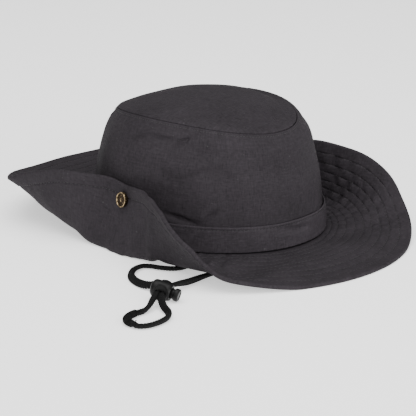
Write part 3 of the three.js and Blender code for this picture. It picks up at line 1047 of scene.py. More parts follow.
    def band_relief(self, angle: np.ndarray, height: np.ndarray) -> np.ndarray:
        """How far the band's face stands out.

        Args:
            angle: degrees round the crown.
            height: height above its foot.

        Returns:
            Soft folds of cos(n a + k h) between its edges and gathers along them, less the dip along its
            row of stitches and the creases.
        """
        broad = 0.3 * folds(angle, height, waves=(4, 12), slant=0.05, count=6, seed=21)
        small = 0.12 * folds(angle, height, waves=(20, 44), slant=0.1, count=8, seed=22)
        dip = 0.3 * bump(height, self.band_row, 0.55)
        edges = bump(height, 18, 3) + bump(height, 1, 3)
        gathers = 0.10 * folds(angle, height, waves=(70, 110), slant=0.03, count=8, seed=23) * edges
        pressed = sum(crease.depth_at(angle, height) for crease in BAND_CREASES)
        return (broad + small) * eased(0, 6, height) * (1 - eased(16, 20, height)) - dip + gathers - pressed

    def band(self) -> bpy.types.Object:
        """The band: a strip of cloth with both edges turned under.

        Returns:
            The piece, a closed tube: up its face, round its top edge and down its back.
        """
        half = self.band_cloth / 2
        out = np.linspace(half, self.band_height - half, 40)
        under = out[::-1][4:-4:4]
        foot = np.radians(np.linspace(0, 90, 6))
        top = self.band_height - half + half * np.sin(foot)
        heights = np.concatenate([half - half * np.cos(foot), out[1:-1], top, under])
        middle = -self.gap - half
        faces = [middle - half * np.sin(foot), np.full(len(out) - 2, middle - half)]
        backs = [middle - half * np.cos(foot), np.full(len(under), middle + half)]
        inside = np.concatenate(faces + backs)
        angle = 90 + 360 * np.arange(self.columns) / self.columns
        relief = self.band_relief(angle[None], heights[:, None])
        relief = np.where((inside < middle + 0.01)[:, None], relief, 0.0)
        # The band's finish is its cloth painted lighter, a painted highlight that offsets the shade falling
        # on it between the crown and the brim.
        patch, finish = self.wall(heights, inside, relief), self.finishes.band_cloth
        return make_piece("crown_band_cloth", patch, finish, stands_for=("crown_band",))

    def tip_point(self, angle: np.ndarray, share: np.ndarray, lift: np.ndarray) -> np.ndarray:
        """Point of the domed tip.

        Args:
            angle: degrees round the tip.
            share: 0 in its middle and 1 at its rim.
            lift: height above its lower face.

        Returns:
            (x_rim s, y_rim s, peak - droop s^2 + dome (1 - s^rounding) + lift).
        """
        rim = self.point(angle, np.full(np.shape(angle), self.top), np.zeros(np.shape(angle)))
        droop = (self.foot + self.top - rim[..., 2]) * share**2
        dome = self.tip_dome * (1 - np.abs(share) ** self.tip_rounding)
        z = self.foot + self.top + self.gap - droop + dome + lift
        back = CROWN_SECTIONS.rows[-1][3]
        return np.stack([rim[..., 0] * share, back + (rim[..., 1] - back) * share, z], -1)

    def tip_relief(self, angle: np.ndarray, share: np.ndarray) -> np.ndarray:
        """How far the tip's face stands out.

        Args:
            angle: degrees round the tip.
            share: 0 in its middle and 1 at its rim.

        Returns:
            One broad wave across, soft folds of cos(n a + k s) and gathers along the rim, less a bell for
            the sunk place behind the seam on the hat's left.
        """
        x = share * np.cos(np.radians(angle))
        wave = 0.5 * np.sin(2.6 * x + 0.8) * share * (1 - share**3)
        soft = 0.45 * folds(angle, share * 60, waves=(2, 7), slant=0.05, count=7, seed=31)
        soft = soft * share * (1 - share**4)
        gathers = 0.08 * folds(angle, share * 70, waves=(60, 96), slant=0.02, count=9, seed=33)
        gathers = gathers * eased(0.86, 0.97, share)
        sunk = 3.6 * bump(turn_from(angle, self.sunk_angle), 0, 52) * bump(share, 0.80, 0.12)
        return wave + soft + gathers - sunk

    def tip(self) -> bpy.types.Object:
        """The tip: its domed face from the middle to the seam, and its lower face.

        Returns:
            The piece, rings between two middle points.
        """
        angle = 360 * np.arange(self.columns) / self.columns
        seam = self.seam_at(angle) + self.seam_gap
        last = 1 + self.shoulder_share / self.share_step
        fine = np.sin(np.linspace(0.02, 1, 64) * np.pi / 2)
        along = last + (seam[None] - last) * fine[:, None]
        face = self.shoulder_point(angle[None], along)
        down = np.array([0, 0, self.cloth])
        rim = face[-1:] - np.array([[[0, 0, drop]] for drop in self.rim_drops])
        points = np.concatenate([face, rim, face[-6::-6] - down])
        top = np.array([0, 0, face[0, :, 2].mean()])
        wrapped = np.concatenate([points, points[:, :1]], 1)
        patch = capped_patch(points, wrapped[..., :2] + CLOTH_ORIGIN, top, top - down)
        finish = self.finishes.cloth
        return make_piece("crown_tip_cloth", patch, finish, stands_for=("crown_tip",))

    def seams(self) -> bpy.types.Object:
        """Rows of stitches: below the tip's seam, and along the band's top edge.

        Returns:
            The piece that holds both rows.
        """

        def below_tip(angle: np.ndarray) -> np.ndarray:
            """The row on the side's cloth, just outside the seam."""
            return self.shoulder_point(angle, self.seam_at(angle) - 0.22)

        def band_top(angle: np.ndarray) -> np.ndarray:
            """The row along the band's top edge, a tenth proud of its face.

            Args:
                angle: degrees round the crown.

            Returns:
                The row's points.
            """
            height = np.full(np.shape(angle), self.band_row)
            proud = self.gap + self.band_cloth + self.band_relief(angle, height) + 0.1
            return self.point(angle, height, -proud)

        middle = np.array([0, 0, 55.0])
        tip_row = sew(below_tip, middle, pitch=2.4, width=0.34)
        rows = [tip_row, sew(band_top, middle, pitch=2.8, width=0.42)]
        return make_piece("crown_stitches", joined(rows), self.finishes.thread)

    def build(self) -> list[bpy.types.Object]:
        """Makes the crown's pieces."""
        return [self.side(), self.band(), self.tip(), self.seams()]


# Brim


@dataclass
class Brim:
    """The quilted brim, its sides rolled up and snapped."""

    finishes: Finishes
    head_length: float = 200.0
    head_width: float = 170.0
    width: float = 69.0
    back_extra: float = 3.4
    cloth: float = 3.0
    inner_edge: float = -5.0
    snap_from_edge: float = 11.5
    snap_angle: float = 1.0
    tightest_roll: float = 5.0
    snap_pull: float = 8.0
    snap_pull_length: float = 42.0
    snap_pull_width: float = 30.0
    rows: tuple[float, ...] = (5.5, 10.5, 17.0, 24.0, 31.0, 37.5, 44.5, 51.5, 59.5)
    puff: float = 0.36
    pucker: float = 0.08
    rolled_pucker: float = 0.55
    groove: float = 0.34
    groove_half: float = 0.5
    radial_folds: float = 0.6
    drawn_folds: float = 0.8
    stitch_pitch: float = 3.2
    stitch_length: float = 2.4
    stitch_proud: float = 0.08
    thread: float = 0.42
    columns: int = 600
    steps: int = 40

    def width_at(self, angle: np.ndarray) -> np.ndarray:
        """Width of the brim round the seam: width + extra max(sin a, 0)^2."""
        return self.width + self.back_extra * np.maximum(np.sin(np.radians(angle)), 0) ** 2

    def flat(self, angle: np.ndarray, offset: np.ndarray) -> np.ndarray:
        """Point of the flat cloth: the head seam's oval, and a distance square to it.

        Args:
            angle: degrees round the seam.
            offset: distance outside it.

        Returns:
            (w cos a, l sin a) + offset (l cos a, w sin a) / |(l cos a, w sin a)|.
        """
        radians = np.radians(angle)
        half_w, half_l = self.head_width / 2, self.head_length / 2
        cos, sin = np.cos(radians), np.sin(radians)
        out = unit(np.stack([half_l * cos, half_w * sin], -1))
        return np.stack([half_w * cos, half_l * sin], -1) + out * np.asarray(offset)[..., None]

    def middle(self, flat: np.ndarray) -> np.ndarray:
        """Middle of the bent cloth for points of the flat cloth.

        Each section at one y runs out from the seam with slope in + (out - in) smoothstep(roll), summed
        in short steps, and the flap is drawn in by a bell round its snap.

        Args:
            flat: points of the flat cloth, across and along the hat.

        Returns:
            Their places in the row frame.
        """
        side = np.where(flat[..., 0] < 0, -1.0, 1.0)
        reach, y = np.abs(flat[..., 0]), flat[..., 1]
        names = ("start", "slope_in", "slope_out", "roll_at", "roll_half")
        z, slope_in, slope_out, at, half = (BRIM_SECTIONS.column(name, y) for name in names)
        for change in RIGHT_CHANGES:
            near = np.where(side < 0, bump(y, change.place, change.half), 0.0)
            slope_in, slope_out = slope_in + change.slope_in * near, slope_out + change.slope_out * near
            at, half = at + change.roll_at * near, half + change.roll_half * near
        half = np.maximum(half, self.tightest_roll)
        seam = self.head_width / 2 * np.sqrt(np.clip(1 - (y / (self.head_length / 2)) ** 2, 0, None))
        x = np.minimum(reach, seam)
        step = np.maximum(reach - seam, 0) / self.steps
        for i in range(self.steps):
            t = np.clip((seam + (i + 0.5) * step - at + half) / (2 * half), 0, 1)
            slope = np.radians(slope_in + (slope_out - slope_in) * t * t * (3 - 2 * t))
            x = x + step * np.cos(slope)
            z = z + step * np.sin(slope)
        snap = self.flat(np.array(self.snap_angle), np.array(self.width - self.snap_from_edge))
        near_snap = bump(y, snap[1], self.snap_pull_length) * bump(reach, snap[0], self.snap_pull_width)
        return np.stack([side * (x - self.snap_pull * near_snap), y, z], -1)

    def face(self, angle: np.ndarray, offset: np.ndarray, lift: np.ndarray) -> tuple[np.ndarray, np.ndarray]:
        """Point and upward normal of the cloth, flattened where it rests.

        Args:
            angle: degrees round the seam.
            offset: distance outside the seam.
            lift: 1 on the upper face, -1 on the lower one and between round the edges.

        Returns:
            The points and the unit normals.
        """
        angle, offset, lift = np.broadcast_arrays(angle, offset, lift)
        wider = np.where(offset > 0, self.width_at(angle) / self.width, 1.0)
        flat = self.flat(angle, offset * wider)
        nudge = 0.5
        along_x = self.middle(flat + (nudge, 0)) - self.middle(flat - (nudge, 0))
        along_y = self.middle(flat + (0, nudge)) - self.middle(flat - (0, nudge))
        normal = unit(np.cross(along_x, along_y))
        points = self.middle(flat) + normal * (lift * self.cloth / 2)[..., None]
        points[..., 2] = np.maximum(points[..., 2], self.cloth / 2 * (1 + lift))
        return points, normal

    def quilt(self, angle: np.ndarray, offset: np.ndarray) -> np.ndarray:
        """Relief of the upper face: puffed channels between sharp rows, crossed by short radial puckers.

        A channel's puff is sin(pi t)^0.5 and a row cuts a groove exp(-(s / groove_half)^2). The puckers are
        waves round the hat with phases of their own in each channel, strong where the sides roll up.

        Args:
            angle: degrees round the seam.
            offset: distance outside the seam.

        Returns:
            How far the upper face stands out.
        """
        edges = np.array((self.inner_edge - 1, 0.0, *self.rows, self.width + 2.5))
        channel = np.clip(np.searchsorted(edges, offset, side="right") - 1, 0, len(edges) - 2)
        t = np.clip((offset - edges[channel]) / (edges[channel + 1] - edges[channel]), 0, 1)
        puff = np.sqrt(np.maximum(np.sin(np.pi * t), 0))
        grooves = sum(bump(offset, row, self.groove_half) for row in self.rows)
        across = np.abs(np.cos(np.radians(angle)))
        rolled = eased(0.35, 0.8, across)
        front = 1 - 0.4 * bump(turn_from(angle, 250), 0, 30)
        dice = np.random.default_rng(41)
        puckers = np.zeros(np.shape(angle))
        for _ in range(9):
            waves = int(dice.integers(44, 84))
            phase = dice.uniform(0, 2 * np.pi, len(edges))[channel]
            puckers = puckers + np.cos(waves * np.radians(angle) + phase) / 3
        radial = folds(angle, offset, waves=(34, 58), slant=0.03, count=8, seed=42)
        radial = radial * bump(offset, 28, 22) * rolled
        outer = 1 - 0.6 * eased(59.5, 63, offset)
        gathered = self.puff + puckers * (self.pucker + self.rolled_pucker * rolled)
        height = puff * outer * gathered - self.groove * grooves
        return (height * front + self.radial_folds * radial) * eased(-0.5, 4, offset)

    def lower(self, angle: np.ndarray, offset: np.ndarray) -> np.ndarray:
        """Relief of the lower face: smooth, with a hem that stands a little proud of its row of stitches.

        Args:
            angle: degrees round the seam.
            offset: distance outside the seam.

        Returns:
            How far the lower face stands out: the hem's step and groove, ripples beside it, broad folds of
            cos(n a + k s), and sharper ones drawn towards each snap.
        """
        hem = 0.3 * eased(59.7, 60.6, offset) - 0.55 * bump(offset, 59.4, 0.6)
        ripple = 0.16 * folds(angle, offset, waves=(50, 90), slant=0.02, count=9, seed=51)
        ripple = ripple * bump(offset, self.rows[-1], 4)
        snap = (((angle + 180 - self.snap_angle) % 180 + 90) % 180) - 90
        flat = eased(6, 24, offset) * (1 - eased(55, 59, offset))
        broad = 0.45 * folds(angle, offset, waves=(12, 30), slant=0.05, count=8, seed=52) * flat
        drawn = folds(angle, offset, waves=(40, 70), slant=0.05, count=7, seed=53)
        drawn = drawn * bump(snap, 3, 17) * bump(offset, 36, 17)
        return hem + ripple + broad + self.drawn_folds * drawn

    def surface(self, angle: np.ndarray, offset: np.ndarray, upper: bool, proud: float = 0.0) -> np.ndarray:
        """Point of the finished upper or lower face.

        Args:
            angle: degrees round the seam.
            offset: distance outside the seam.
            upper: which face.
            proud: how far above its relief.

        Returns:
            The points, none below the floor.
        """
        side = 1.0 if upper else -1.0
        points, normal = self.face(angle, offset, np.asarray(side))
        relief = self.quilt(angle, offset) if upper else self.lower(angle, offset)
        points = points + normal * (side * (relief + proud))[..., None]
        points[..., 2] = np.maximum(points[..., 2], ABOVE_FLOOR)
        return points

    def shell(self) -> bpy.types.Object:
        """The whole brim: upper face out to the rounded edge, lower face back to the seam.

        Returns:
            The piece, one closed tube of rows close together at each row of stitches.
        """
        radius = self.cloth / 2
        near_row = np.add.outer(np.array(self.rows), (-0.9, -0.4, 0.0, 0.4, 0.9)).ravel()
        between = np.linspace(self.inner_edge, self.width - radius, 47)
        out = np.sort(np.concatenate([near_row, between]))
        out = out[np.concatenate([[True], np.diff(out) > 0.16])]
        edge = np.radians(np.linspace(90, -90, 13))[1:-1]
        hem = np.linspace(self.width - radius, 57.5, 18)
        back = np.concatenate([hem, np.linspace(56.5, self.inner_edge, 38)])
        inner = np.radians(np.linspace(-90, 90, 5))[1:-1]
        round_edge = self.width - radius + radius * np.cos(edge)
        offset = np.concatenate([out, round_edge, back, self.inner_edge - np.cos(inner)])
        lift = np.concatenate([np.ones_like(out), np.sin(edge), -np.ones_like(back), np.sin(inner)])
        angle = 360 * np.arange(self.columns) / self.columns
        grid_a, grid_o = np.meshgrid(angle, offset)
        grid_l = np.broadcast_to(lift[:, None], grid_a.shape)
        points, normal = self.face(grid_a, grid_o, grid_l)
        above = self.quilt(grid_a, grid_o) * np.clip(grid_l, 0, 1)
        below = self.lower(grid_a, grid_o) * np.clip(-grid_l, 0, 1)
        points = points + normal * (above - below)[..., None]
        points[..., 2] = np.maximum(points[..., 2], ABOVE_FLOOR)
        flat = self.flat(grid_a, grid_o)
        cloth = np.concatenate([flat, flat[:, :1]], 1) + CLOTH_ORIGIN
        patch, finish = ring_patch(points, cloth), self.finishes.cloth
        return make_piece("brim_cloth", patch, finish, stands_for=("brim",))

    def sewn_row(self, offset: float, upper: bool) -> Patch:
        """Stitches along one row, tilted with the cloth.

        Args:
            offset: the row's distance outside the seam.
            upper: whether it is on the upper face.

        Returns:
            The row's stitches.
        """
        fine = np.arange(0, 360, FINE_TURN)
        line = self.surface(fine, np.full(fine.shape, offset), upper)
        angle = even_places(line, self.stitch_pitch) * FINE_TURN
        here = np.full(angle.shape, offset)
        points = self.surface(angle, here, upper, self.stitch_proud)
        ahead = self.surface(angle + NUDGE_TURN, here, upper)
        behind = self.surface(angle - NUDGE_TURN, here, upper)
        _, normal = self.face(angle, here, np.asarray(1.0))
        outwards = normal * (1.0 if upper else -1.0)
        return stitches(points, unit(ahead - behind), outwards, self.stitch_length, self.thread)

    def seams(self) -> bpy.types.Object:
        """Every row of stitches on the upper face, and the hem's on the lower one.

        Returns:
            The piece that holds them.
        """
        rows = [self.sewn_row(offset, True) for offset in self.rows]
        rows.append(self.sewn_row(self.rows[-1], False))
        return make_piece("brim_stitches", joined(rows), self.finishes.thread)

    def build(self) -> list[bpy.types.Object]:
        """Makes the brim's pieces."""
        return [self.shell(), self.seams()]


# Snaps


@dataclass
class Snaps:
    """The two snap caps on the outside of the turned-up sides."""

    finishes: Finishes
    brim: Brim
    radius: float = 6.0
    height: float = 3.0
    standoff: float = 1.6
    petals: int = 10
    petal_ring: float = 0.58
    petal_ring_half: float = 0.10
    petal_height: float = 0.4

    def cap(self) -> Patch:
        """A cap with a rolled rim, a sunk ring of low petals and a small boss.

        The section is a lathe profile, and a bell round the ring raises it by petal_height cos(10 a).

        Returns:
            The cap in its own frame, its axis along +Z and its foot behind the cloth's face.
        """
        r, h = self.radius, self.height
        foot = -self.standoff - 0.2
        profile = [(r * 0.80, foot), (r * 0.90, foot + 0.3), (r * 0.97, -0.2), (r, 0.35)]
        roll = np.radians(np.linspace(-20, 200, 13))
        profile += [(r * 0.91 + r * 0.09 * np.cos(a), h * 0.50 + r * 0.16 * np.sin(a)) for a in roll]
        profile += [(r * 0.79, h * 0.46), (r * 0.74, h * 0.42)]
        profile += [(r * s, h * 0.42) for s in np.linspace(0.70, 0.36, 11)]
        profile += [(r * 0.31, h * 0.45), (r * 0.28, h * 0.56)]
        dome = np.radians(np.linspace(12, 84, 8))
        profile += [(r * 0.26 * np.cos(a), h * 0.56 + h * 0.16 * np.sin(a)) for a in dome]
        patch = lathe(profile, 80)
        x, y, z = patch.points.T
        ring = np.hypot(x, y) / r
        petal = np.cos(self.petals * np.arctan2(y, x)) * bump(ring, self.petal_ring, self.petal_ring_half)
        patch.points[:, 2] += self.petal_height * petal * (z > 0)
        return patch

    def build(self) -> list[bpy.types.Object]:
        """Makes both caps on the brim's lower face, and dresses the hidden posts.

        Returns:
            The two caps, each turned from +Z to the cloth's outward normal.
        """
        made = []
        offset = self.brim.width - self.brim.snap_from_edge
        for name, angle in (("right", 180 - self.brim.snap_angle), ("left", self.brim.snap_angle)):
            point, normal = self.brim.face(np.array(angle), np.array(offset), np.array(-1.0))
            out = Vector((-normal).tolist())
            turn = out.to_track_quat("Z", "Y").to_matrix().to_4x4()
            place = Matrix.Translation(Vector(point.tolist()) + out * self.standoff)
            cap, node = self.cap().moved(place @ turn), f"snap_cap_{name}"
            brass = self.finishes.brass
            made.append(make_piece(f"{node}_brass", cap, brass, stands_for=(node,)))
            dress_node(f"snap_post_{name}", self.finishes.brass)
        return made


def dress_node(node: str, finish: bpy.types.Material) -> None:
    """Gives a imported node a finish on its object's own slot.

    Args:
        node: the node's name.
        finish: its material.
    """
    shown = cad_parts[node]
    shown.material_slots[0].link = "OBJECT"
    shown.material_slots[0].material = finish


# Chin cord


def curve_through(points: np.ndarray, step: float) -> np.ndarray:
    """Even points on the centripetal Catmull-Rom curve through a route.

    Args:
        points: (n, 3) route.
        step: distance between the points that come back.

    Returns:
        The even points: each span is a Hermite cubic whose slopes come from the roots of the chord lengths.
    """
    ends = np.vstack([2 * points[0] - points[1], points, 2 * points[-1] - points[-2]])
    p0, p1, p2, p3 = ends[:-3], ends[1:-2], ends[2:-1], ends[3:]
    chords = ((p0, p1), (p1, p2), (p2, p3))
    d0, d1, d2 = (np.sqrt(np.linalg.norm(b - a, axis=1))[:, None] for a, b in chords)
    t1 = ((p1 - p0) / d0 - (p2 - p0) / (d0 + d1) + (p2 - p1) / d1) * d1
    t2 = ((p2 - p1) / d1 - (p3 - p1) / (d1 + d2) + (p3 - p2) / d2) * d1
    t = np.linspace(0, 1, 60, endpoint=False)[None, :, None]
    from_a = (2 * t**3 - 3 * t**2 + 1) * p1[:, None] + (t**3 - 2 * t**2 + t) * t1[:, None]
    to_b = (3 * t**2 - 2 * t**3) * p2[:, None] + (t**3 - t**2) * t2[:, None]
    fine = np.vstack([(from_a + to_b).reshape(-1, 3), points[-1:]])
    run = run_along(fine)
    places = np.linspace(0, run[-1], max(int(round(run[-1] / step)), 2) + 1)
    return at_places(fine, run, places)


def path_length(line: np.ndarray) -> float:
    """Length of a line of points."""
    return float(np.linalg.norm(np.diff(line, axis=0), axis=1).sum())


def frames_along(line: np.ndarray) -> tuple[np.ndarray, np.ndarray]:
    """Level sideways and upward directions along a line that is never quite upright.

    Args:
        line: (n, 3) points.

    Returns:
        The unit vectors Z x tangent and tangent x side at each point.
    """
    tangent = unit(np.gradient(line, axis=0))
    side = unit(np.cross(np.array([0.0, 0.0, 1.0]), tangent))
    return side, unit(np.cross(tangent, side))


@dataclass
class ChinCord:
    """The flat braided chin cord: two strands from the tabs through the lock to their sewn joint."""

    finishes: Finishes
    width: float = 5.6
    thickness: float = 3.5
    lean: float = 62.0
    lean_at: float = 40.0
    lean_half: float = 26.0
    lock_centre: tuple[float, float, float] = (-146.5, -97.5, 7.5)
    sides: int = 28
    plait: float = 2.3
    point_step: float = 0.38
    oval: float = 0.85
    inset: float = 0.15
    held_half: float = 10.0
    held_narrower: float = 0.36
    loop_narrower: float = 0.15
    lean_lift: float = 0.75
    plait_relief: float = 0.55
    flank_relief: float = 0.7
    tab_width: float = 12.0
    tab_height: float = 13.0
    tab_cloth: float = 3.2
    tab_middle: float = 17.4
    tab_out: float = 79.0
    sleeve_width: float = 2.75
    sleeve_height: float = 2.25
    wound_width: float = 2.78
    wound_height: float = 2.28
    windings: int = 15
    right_route: Route = (
        (-79.9, 0, 10.3), (-79.9, 0.8, 8), (-79.6, 3.6, 4.8), (-78.6, 9, 2.4), (-75.5, 17, 1.9),
        (-69, 27, 1.9), (-57, 33.5, 1.9), (-44, 31, 1.9), (-36, 18, 1.9), (-37, 1, 1.9),
        (-46, -20, 1.9), (-59, -40, 1.9),
        (-71, -54, 1.9), (-82, -60.5, 1.9), (-91, -61.5, 1.9), (-98, -57.3, 1.9), (-102.6, -48.5, 1.9),
        (-104.5, -42.2, 1.9), (-108.5, -37.4, 1.9), (-116.5, -37.6, 1.9), (-126, -43.4, 1.9),
        (-132, -49.6, 1.9), (-136.2, -57, 2), (-138.6, -65, 2.3), (-139, -73, 3.2), (-136.9, -80.4, 4.9),
        (-134.6, -86.6, 7), (-137, -91, 7.9), (-141.5, -93.1, 7.9), (-147.3, -95.8, 7.9),
        (-154.5, -99.2, 7.9), (-161.5, -102.8, 6.2), (-169, -106.5, 3.6), (-176, -108.1, 2.1),
        (-181, -107.7, 1.9),
    )
    left_route: Route = (
        (79.9, 0, 10.3), (79.9, -0.8, 8), (79.6, -3.6, 4.8), (78.6, -9, 2.4), (73, -26, 1.9), (62, -44, 1.9),
        (42, -62, 1.9), (15, -74.5, 1.9), (-15, -81.5, 1.9), (-45, -85.5, 1.9), (-70, -86.6, 1.9),
        (-90, -87, 1.9), (-103.5, -88.3, 2.2), (-114.5, -89.6, 3.1), (-124, -90.6, 4.8), (-132, -92.8, 6.4),
        (-140.3, -96.7, 7.1), (-145.7, -99.2, 7.1), (-153, -102.6, 7.1), (-158, -107.5, 5.6),
        (-162.5, -114.5, 3.4), (-165.7, -122, 2), (-172, -128.4, 1.9), (-182, -131.2, 1.9),
        (-192, -130.4, 1.9), (-197.4, -127.2, 1.9), (-199.3, -123.3, 1.9),
    )
    joint_route: Route = (
        (-180.2, -107.7, 2.4), (-181.5, -107.6, 2.7), (-188, -107.9, 2.7), (-194.5, -110.8, 2.7),
        (-198.4, -116, 2.7), (-199.2, -122.2, 2.7), (-199.2, -123.6, 2.4),
    )

    def braid(self, line: np.ndarray) -> Patch:
        """The flat braid along a line.

        Its section is a squared oval (w c^0.85, h s^0.85), leant over round the lock and drawn narrower in
        it and in the loop past it. The plait stands out by |sin(pi (s / pitch - 0.95 |c|))|^0.8, a row of
        chevrons on each face, and by bumps |sin(pi (s / pitch + 0.35))| on each edge.

        Args:
            line: (n, 3) even points.

        Returns:
            The braid, with millimetres round and along it as its map.
        """
        side, up = frames_along(line)
        run = run_along(line)[:, None]
        near = np.linalg.norm(line - np.array(self.lock_centre), axis=1)[:, None]
        lean = np.radians(self.lean) * bump(near, self.lean_at, self.lean_half)
        side, up = side * np.cos(lean) + up * np.sin(lean), up * np.cos(lean) - side * np.sin(lean)
        line = line + np.array([0, 0, self.lean_lift]) * np.sin(lean) ** 2
        held = np.exp(-((near / self.held_half) ** 4))
        squeeze = 1 - self.held_narrower * held - self.loop_narrower * eased(-151, -157, line[:, :1])
        turn = 2 * np.pi * np.arange(self.sides + 1) / self.sides
        cos, sin = np.cos(turn[None, :-1]), np.sin(turn[None, :-1])
        chevron = np.abs(np.sin(np.pi * (run / self.plait - 0.95 * np.abs(cos)))) ** 0.8
        flank = np.abs(np.sin(np.pi * (run / self.plait + 0.35)))
        faces = self.plait_relief * chevron * np.abs(sin) ** 0.5
        edges = self.flank_relief * flank * np.abs(cos) ** 3
        relief = (faces + edges - 0.3) * (1 - 0.6 * held)
        wide = boxed(cos, self.oval) * (self.width / 2 - self.inset) * squeeze + relief * cos
        high = boxed(sin, self.oval) * (self.thickness / 2 - self.inset) + relief * sin
        points = line[:, None] + side[:, None] * wide[..., None] + up[:, None] * high[..., None]
        points[..., 2] = np.maximum(points[..., 2], ABOVE_FLOOR)
        cloth = np.stack(np.broadcast_arrays(turn[None] * 2.0, run), -1)
        return capped_patch(points, cloth, line[0], line[-1])

    def strand(self, name: str, route: Route) -> None:
        """Args:
            name: the side of the hat that it starts from.
            route: the points that it passes, from its tab on.
        """
        line = curve_through(np.array(route, float), self.point_step)
        braid, node = self.braid(line), f"chin_cord_{name}"
        piece = make_piece(f"{node}_braid", braid, self.finishes.braid, stands_for=(node,))
        LOG.info("%s strand: %.0f mm", name, path_length(line))

    def joint(self) -> tuple[bpy.types.Object, bpy.types.Object]:
        """The sewn overlap of the two ends: a thicker sleeve of braid, and the thread wound round it.

        Its section is an oval with lumps of sin(2.1 s + 2 p) and sin(0.9 s), full along the joint and
        thinner towards its ends by 1 - 0.42 |share|^5.

        Returns:
            The sleeve and the thread.
        """
        line = curve_through(np.array(self.joint_route, float), 0.3)
        side, up = frames_along(line)
        run = run_along(line)
        share = run / run[-1] * 2 - 1
        full = (1 - np.abs(share) ** 5 * 0.42)[:, None]
        turn = 2 * np.pi * np.arange(33) / 32
        phi = turn[None, :-1]
        lump = 0.16 * np.sin(run[:, None] * 2.1 + 2 * phi) + 0.13 * np.sin(run[:, None] * 0.9 + 1.3)
        wide = (self.sleeve_width * full + lump) * np.cos(phi)
        high = (self.sleeve_height * full + lump) * np.sin(phi)
        points = line[:, None] + side[:, None] * wide[..., None] + up[:, None] * high[..., None]
        cloth = np.stack(np.broadcast_arrays(turn[None] * 2.4, run[:, None]), -1)
        patch, finish = capped_patch(points, cloth, line[0], line[-1]), self.finishes.braid
        sleeve = make_piece("cord_joint_sleeve", patch, finish, stands_for=("cord_joint",))
        return sleeve, self.winding(line, side, up, run)

    def winding(
        self, line: np.ndarray, side: np.ndarray, up: np.ndarray, run: np.ndarray
    ) -> bpy.types.Object:
        """Thread wound round the joint as a helix, and a tuft of loose ends where it was tied off.

        Args:
            line: (n, 3) points of the joint.
            side: their sideways directions.
            up: their upward directions.
            run: distance run at each of them.

        Returns:
            The thread: line + w side cos p + h up sin p, and ends root + lean t + bend t (1 - t) - drop t^2.
        """
        inside = (run > 2.4) & (run < run[-1] - 2.4)
        span = run[inside]
        places = np.linspace(span[0], span[-1], 900)
        phi = 2 * np.pi * self.windings * (places - span[0]) / (span[-1] - span[0])
        centre, across, above = (at_places(values, run, places) for values in (line, side, up))
        wide, high = self.wound_width * np.cos(phi)[:, None], self.wound_height * np.sin(phi)[:, None]
        parts = [thread_tube(centre + across * wide + above * high, 0.34, 6)]
        dice = np.random.default_rng(7)
        root = line[int(len(line) * 0.93)] + up[0] * 1.2
        t = np.linspace(0, 1, 8)[:, None]
        for _ in range(7):
            ways = ((0.2, 1.0), (-1.0, 0.1), (0.1, 0.7))
            lean = unit(np.array([dice.uniform(low, high) for low, high in ways]))
            reach = dice.uniform(2.0, 4.2)
            bend = dice.uniform(-0.8, 0.8, 3) * (t * (1 - t)) - np.array([0, 0, 1.2]) * t**2
            tuft = root + lean * reach * t + bend
            tuft[:, 2] = np.maximum(tuft[:, 2], 0.3)
            parts.append(thread_tube(tuft, 0.2, 5))
        return make_piece("cord_joint_thread", joined(parts), self.finishes.braid)

    def tabs(self) -> list[bpy.types.Object]:
        """The two sewn tabs inside the crown: soft plates with a rounded outline and swelling faces.

        The plate is (w c^0.35, h s^0.35) cos(q)^0.3 in outline and t sin(q)^0.6 through its thickness.

        Returns:
            The two pieces.
        """
        made = []
        half_w, half_h, half_t = self.tab_width / 2, self.tab_height / 2, self.tab_cloth / 2
        ring = np.radians(np.linspace(0, 360, 73))[:-1]
        rows = np.radians(np.linspace(-88, 88, 25))
        shrink = np.abs(np.cos(rows))[:, None] ** 0.30
        y = boxed(np.cos(ring), 0.35) * half_w * shrink
        z = boxed(np.sin(ring), 0.35) * half_h * shrink + self.tab_middle
        through = np.broadcast_to((boxed(np.sin(rows), 0.6) * half_t)[:, None], y.shape)
        for name, side in (("right", -1.0), ("left", 1.0)):
            out = side * self.tab_out
            points = np.stack([through + out, y, z], -1)
            cloth = np.concatenate([points[..., 1:], points[:, :1, 1:]], 1) + CLOTH_ORIGIN
            first = np.array([out - half_t, 0, self.tab_middle])
            last = np.array([out + half_t, 0, self.tab_middle])
            tab, node = capped_patch(points, cloth, first, last), f"cord_tab_{name}"
            finish = self.finishes.cloth
            made.append(make_piece(f"{node}_cloth", tab, finish, stands_for=(node,)))
        return made

    def build(self, lock: list[bpy.types.Object]) -> None:
        """Makes the tabs, the joint and both strands.

        Args:
            lock: the lock's pieces, which are on the right strand; not used.
        """
        self.tabs()
        sleeve, thread = self.joint()
        self.strand("right", self.right_route)
        self.strand("left", self.left_route)


def thread_tube(line: np.ndarray, radius: float, sides: int) -> Patch:
    """A thin round tube along a line, with pointed ends: line + r (side cos p + up sin p).

    Args:
        line: (n, 3) points.
        radius: the tube's radius.
        sides: how many columns go round it.

    Returns:
        The tube, with a map of zeros.
    """
    side, up = frames_along(line)
    phi = (2 * np.pi * np.arange(sides) / sides)[None, :, None]
    ring = side[:, None] * np.cos(phi) + up[:, None] * np.sin(phi)
    points = line[:, None] + radius * ring
    return capped_patch(points, np.zeros((len(line), sides + 1, 2)), line[0], line[-1])


# Cord lock


class Carve(Enum):
    """What a solid does to the piece that it is set in."""

    JOIN = "UNION"
    CUT = "DIFFERENCE"


